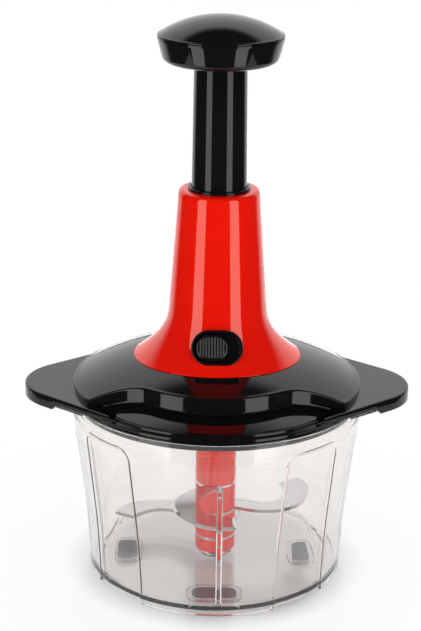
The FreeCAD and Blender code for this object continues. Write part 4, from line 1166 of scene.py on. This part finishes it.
def make_stage():
    """White table; it ends just in front of the object, so that fronts mirror the dark room beyond."""
    bpy.ops.object.select_all(action="DESELECT")
    bpy.ops.mesh.primitive_plane_add(size=1.0, location=(0, (TABLE_BACK + TABLE_FRONT) / 2, 0))
    floor = bpy.context.object
    floor.name = "floor"
    floor.scale = (TABLE_WIDTH, TABLE_BACK - TABLE_FRONT, 1.0)
    bpy.ops.object.transform_apply(location=True, rotation=True, scale=True)
    material, shader = paint("pale_floor", (0.8, 0.8, 0.8), Roughness=0.6)
    tree = material.node_tree
    path = add_node(tree, "ShaderNodeLightPath").outputs
    spot = add_node(tree, "ShaderNodeNewGeometry").outputs["Position"]
    away = add_node(tree, "ShaderNodeVectorMath", spot, operation="LENGTH").outputs["Value"]
    reach = add_node(tree, "ShaderNodeMapRange", Value=away, From_Min=0.0, From_Max=GLOW_SPAN)
    glowing = add_node(tree, "ShaderNodeValToRGB", Fac=reach.outputs["Result"])
    glowing.color_ramp.elements.new(0.5)
    for element, (distance, strength) in zip(glowing.color_ramp.elements, FLOOR_GLOW):
        element.position = distance / GLOW_SPAN
        element.color = (strength, strength, strength, 1)
    seen = add_node(tree, "ShaderNodeMath", path["Is Camera Ray"], path["Is Transmission Ray"],
                    operation="MAXIMUM").outputs["Value"]
    share = add_node(tree, "ShaderNodeMath", seen, glowing.outputs["Color"],
                     operation="MULTIPLY").outputs["Value"]
    glow = add_node(tree, "ShaderNodeEmission", Color=(1, 1, 1, 1), Strength=1.0).outputs["Emission"]
    show(material, blend(tree, share, shader.outputs["BSDF"], glow))
    floor.data.materials.append(material)


def make_world():
    """White to the camera; to mirrored and transmitted rays a white screen low behind, in a dark room."""
    world = bpy.data.worlds.new("studio")
    bpy.context.scene.world = world
    world.use_nodes = True
    tree = world.node_tree

    def background(strength):
        """White light of a strength from all round."""
        node = add_node(tree, "ShaderNodeBackground", Color=(1, 1, 1, 1), Strength=strength)
        return node.outputs["Background"]

    def ramp(source, start, end):
        """Soft rise from 0 to 1 between two values."""
        node = add_node(tree, "ShaderNodeMapRange", Value=source, From_Min=start, From_Max=end)
        node.interpolation_type = "SMOOTHSTEP"
        return node.outputs["Result"]

    where = add_node(tree, "ShaderNodeTexCoord").outputs["Generated"]
    parts = add_node(tree, "ShaderNodeSeparateXYZ", where).outputs
    level = add_node(tree, "ShaderNodeCombineXYZ", parts["X"], parts["Y"]).outputs["Vector"]
    heading = add_node(tree, "ShaderNodeVectorMath", level, operation="NORMALIZE").outputs["Vector"]
    turned = add_node(tree, "ShaderNodeSeparateXYZ", heading).outputs
    screen = add_node(tree, "ShaderNodeMath", ramp(turned["Y"], *SCREEN_SIDES), ramp(parts["Z"], *SCREEN_TOP),
                      operation="MULTIPLY").outputs["Value"]
    white = background(1.0)
    room = blend(tree, screen, background(ROOM_DARK), white)
    room_through = blend(tree, screen, background(CLEAR_DARK), white)
    path = add_node(tree, "ShaderNodeLightPath").outputs
    lit = blend(tree, path["Is Glossy Ray"], background(FILL), room)
    through = blend(tree, path["Is Transmission Ray"], lit, room_through)
    shown = blend(tree, path["Is Camera Ray"], through, white)
    feed(tree, shown, tree.nodes["World Output"].inputs["Surface"])


def softbox(name, place, aim, size, radiance):
    """Area lamp at a place, aimed at a point, of an even brightness."""
    data = bpy.data.lights.new(name, "AREA")
    data.shape = "RECTANGLE"
    data.size, data.size_y = size
    data.energy = radiance * math.pi * size[0] * size[1]
    lamp = bpy.data.objects.new(name, data)
    bpy.context.scene.collection.objects.link(lamp)
    lamp.location = place
    lamp.rotation_euler = (Vector(aim) - Vector(place)).to_track_quat("-Z", "Y").to_euler()
    lamp.visible_camera = False
    return lamp


def make_lamps():
    """Two tall strips in front that reach below the table, and a small lamp behind for the shadows."""
    for name, turn in STRIPS:
        angle = math.radians(turn)
        place = (STRIP_AWAY * math.sin(angle), -STRIP_AWAY * math.cos(angle), STRIP_Z)
        softbox(name, place, (0, 0, STRIP_Z), STRIP_SIZE, STRIP_GLOW)
    key = softbox("key_back", KEY_PLACE, KEY_AIM, KEY_SIZE, KEY_GLOW)
    key.visible_glossy = key.visible_transmission = False


def make_camera():
    """Long lens in front, looking down at the object."""
    data = bpy.data.cameras.new("camera")
    data.lens = CAMERA_LENS
    data.sensor_width = CAMERA_SENSOR
    camera = bpy.data.objects.new("camera", data)
    bpy.context.scene.collection.objects.link(camera)
    place = Matrix.Translation(CAMERA_PLACE)
    for angle, axis in ((CAMERA_YAW, "Z"), (CAMERA_PITCH, "X"), (CAMERA_ROLL, "Z")):
        place = place @ Matrix.Rotation(math.radians(angle), 4, axis)
    camera.matrix_world = place
    bpy.context.scene.camera = camera


def dress_cad_nodes():
    """Finish for every CAD node that is still shown, from its slot in the record."""
    slots = {row["node"]: row["material_slot"] for row in frame["record"]["subparts"]}
    for name, node in frame["nodes"].items():
        if node.hide_render:
            continue
        node.data.materials.clear()
        node.data.materials.append(FINISHES[slots[name]])


def main():
    """Model and dress every piece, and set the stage."""
    make_bowl()
    make_lid()
    make_tower()
    make_lock_frame()
    make_lock_slider()
    make_detent()
    make_return_spring()
    make_tube()
    make_knob()
    make_guide_bush()
    make_column()
    make_blades()
    dress_cad_nodes()
    make_stage()
    make_world()
    make_lamps()
    make_camera()
    bpy.context.scene.view_settings.view_transform = "Standard"
    bpy.context.view_layer.update()


main()
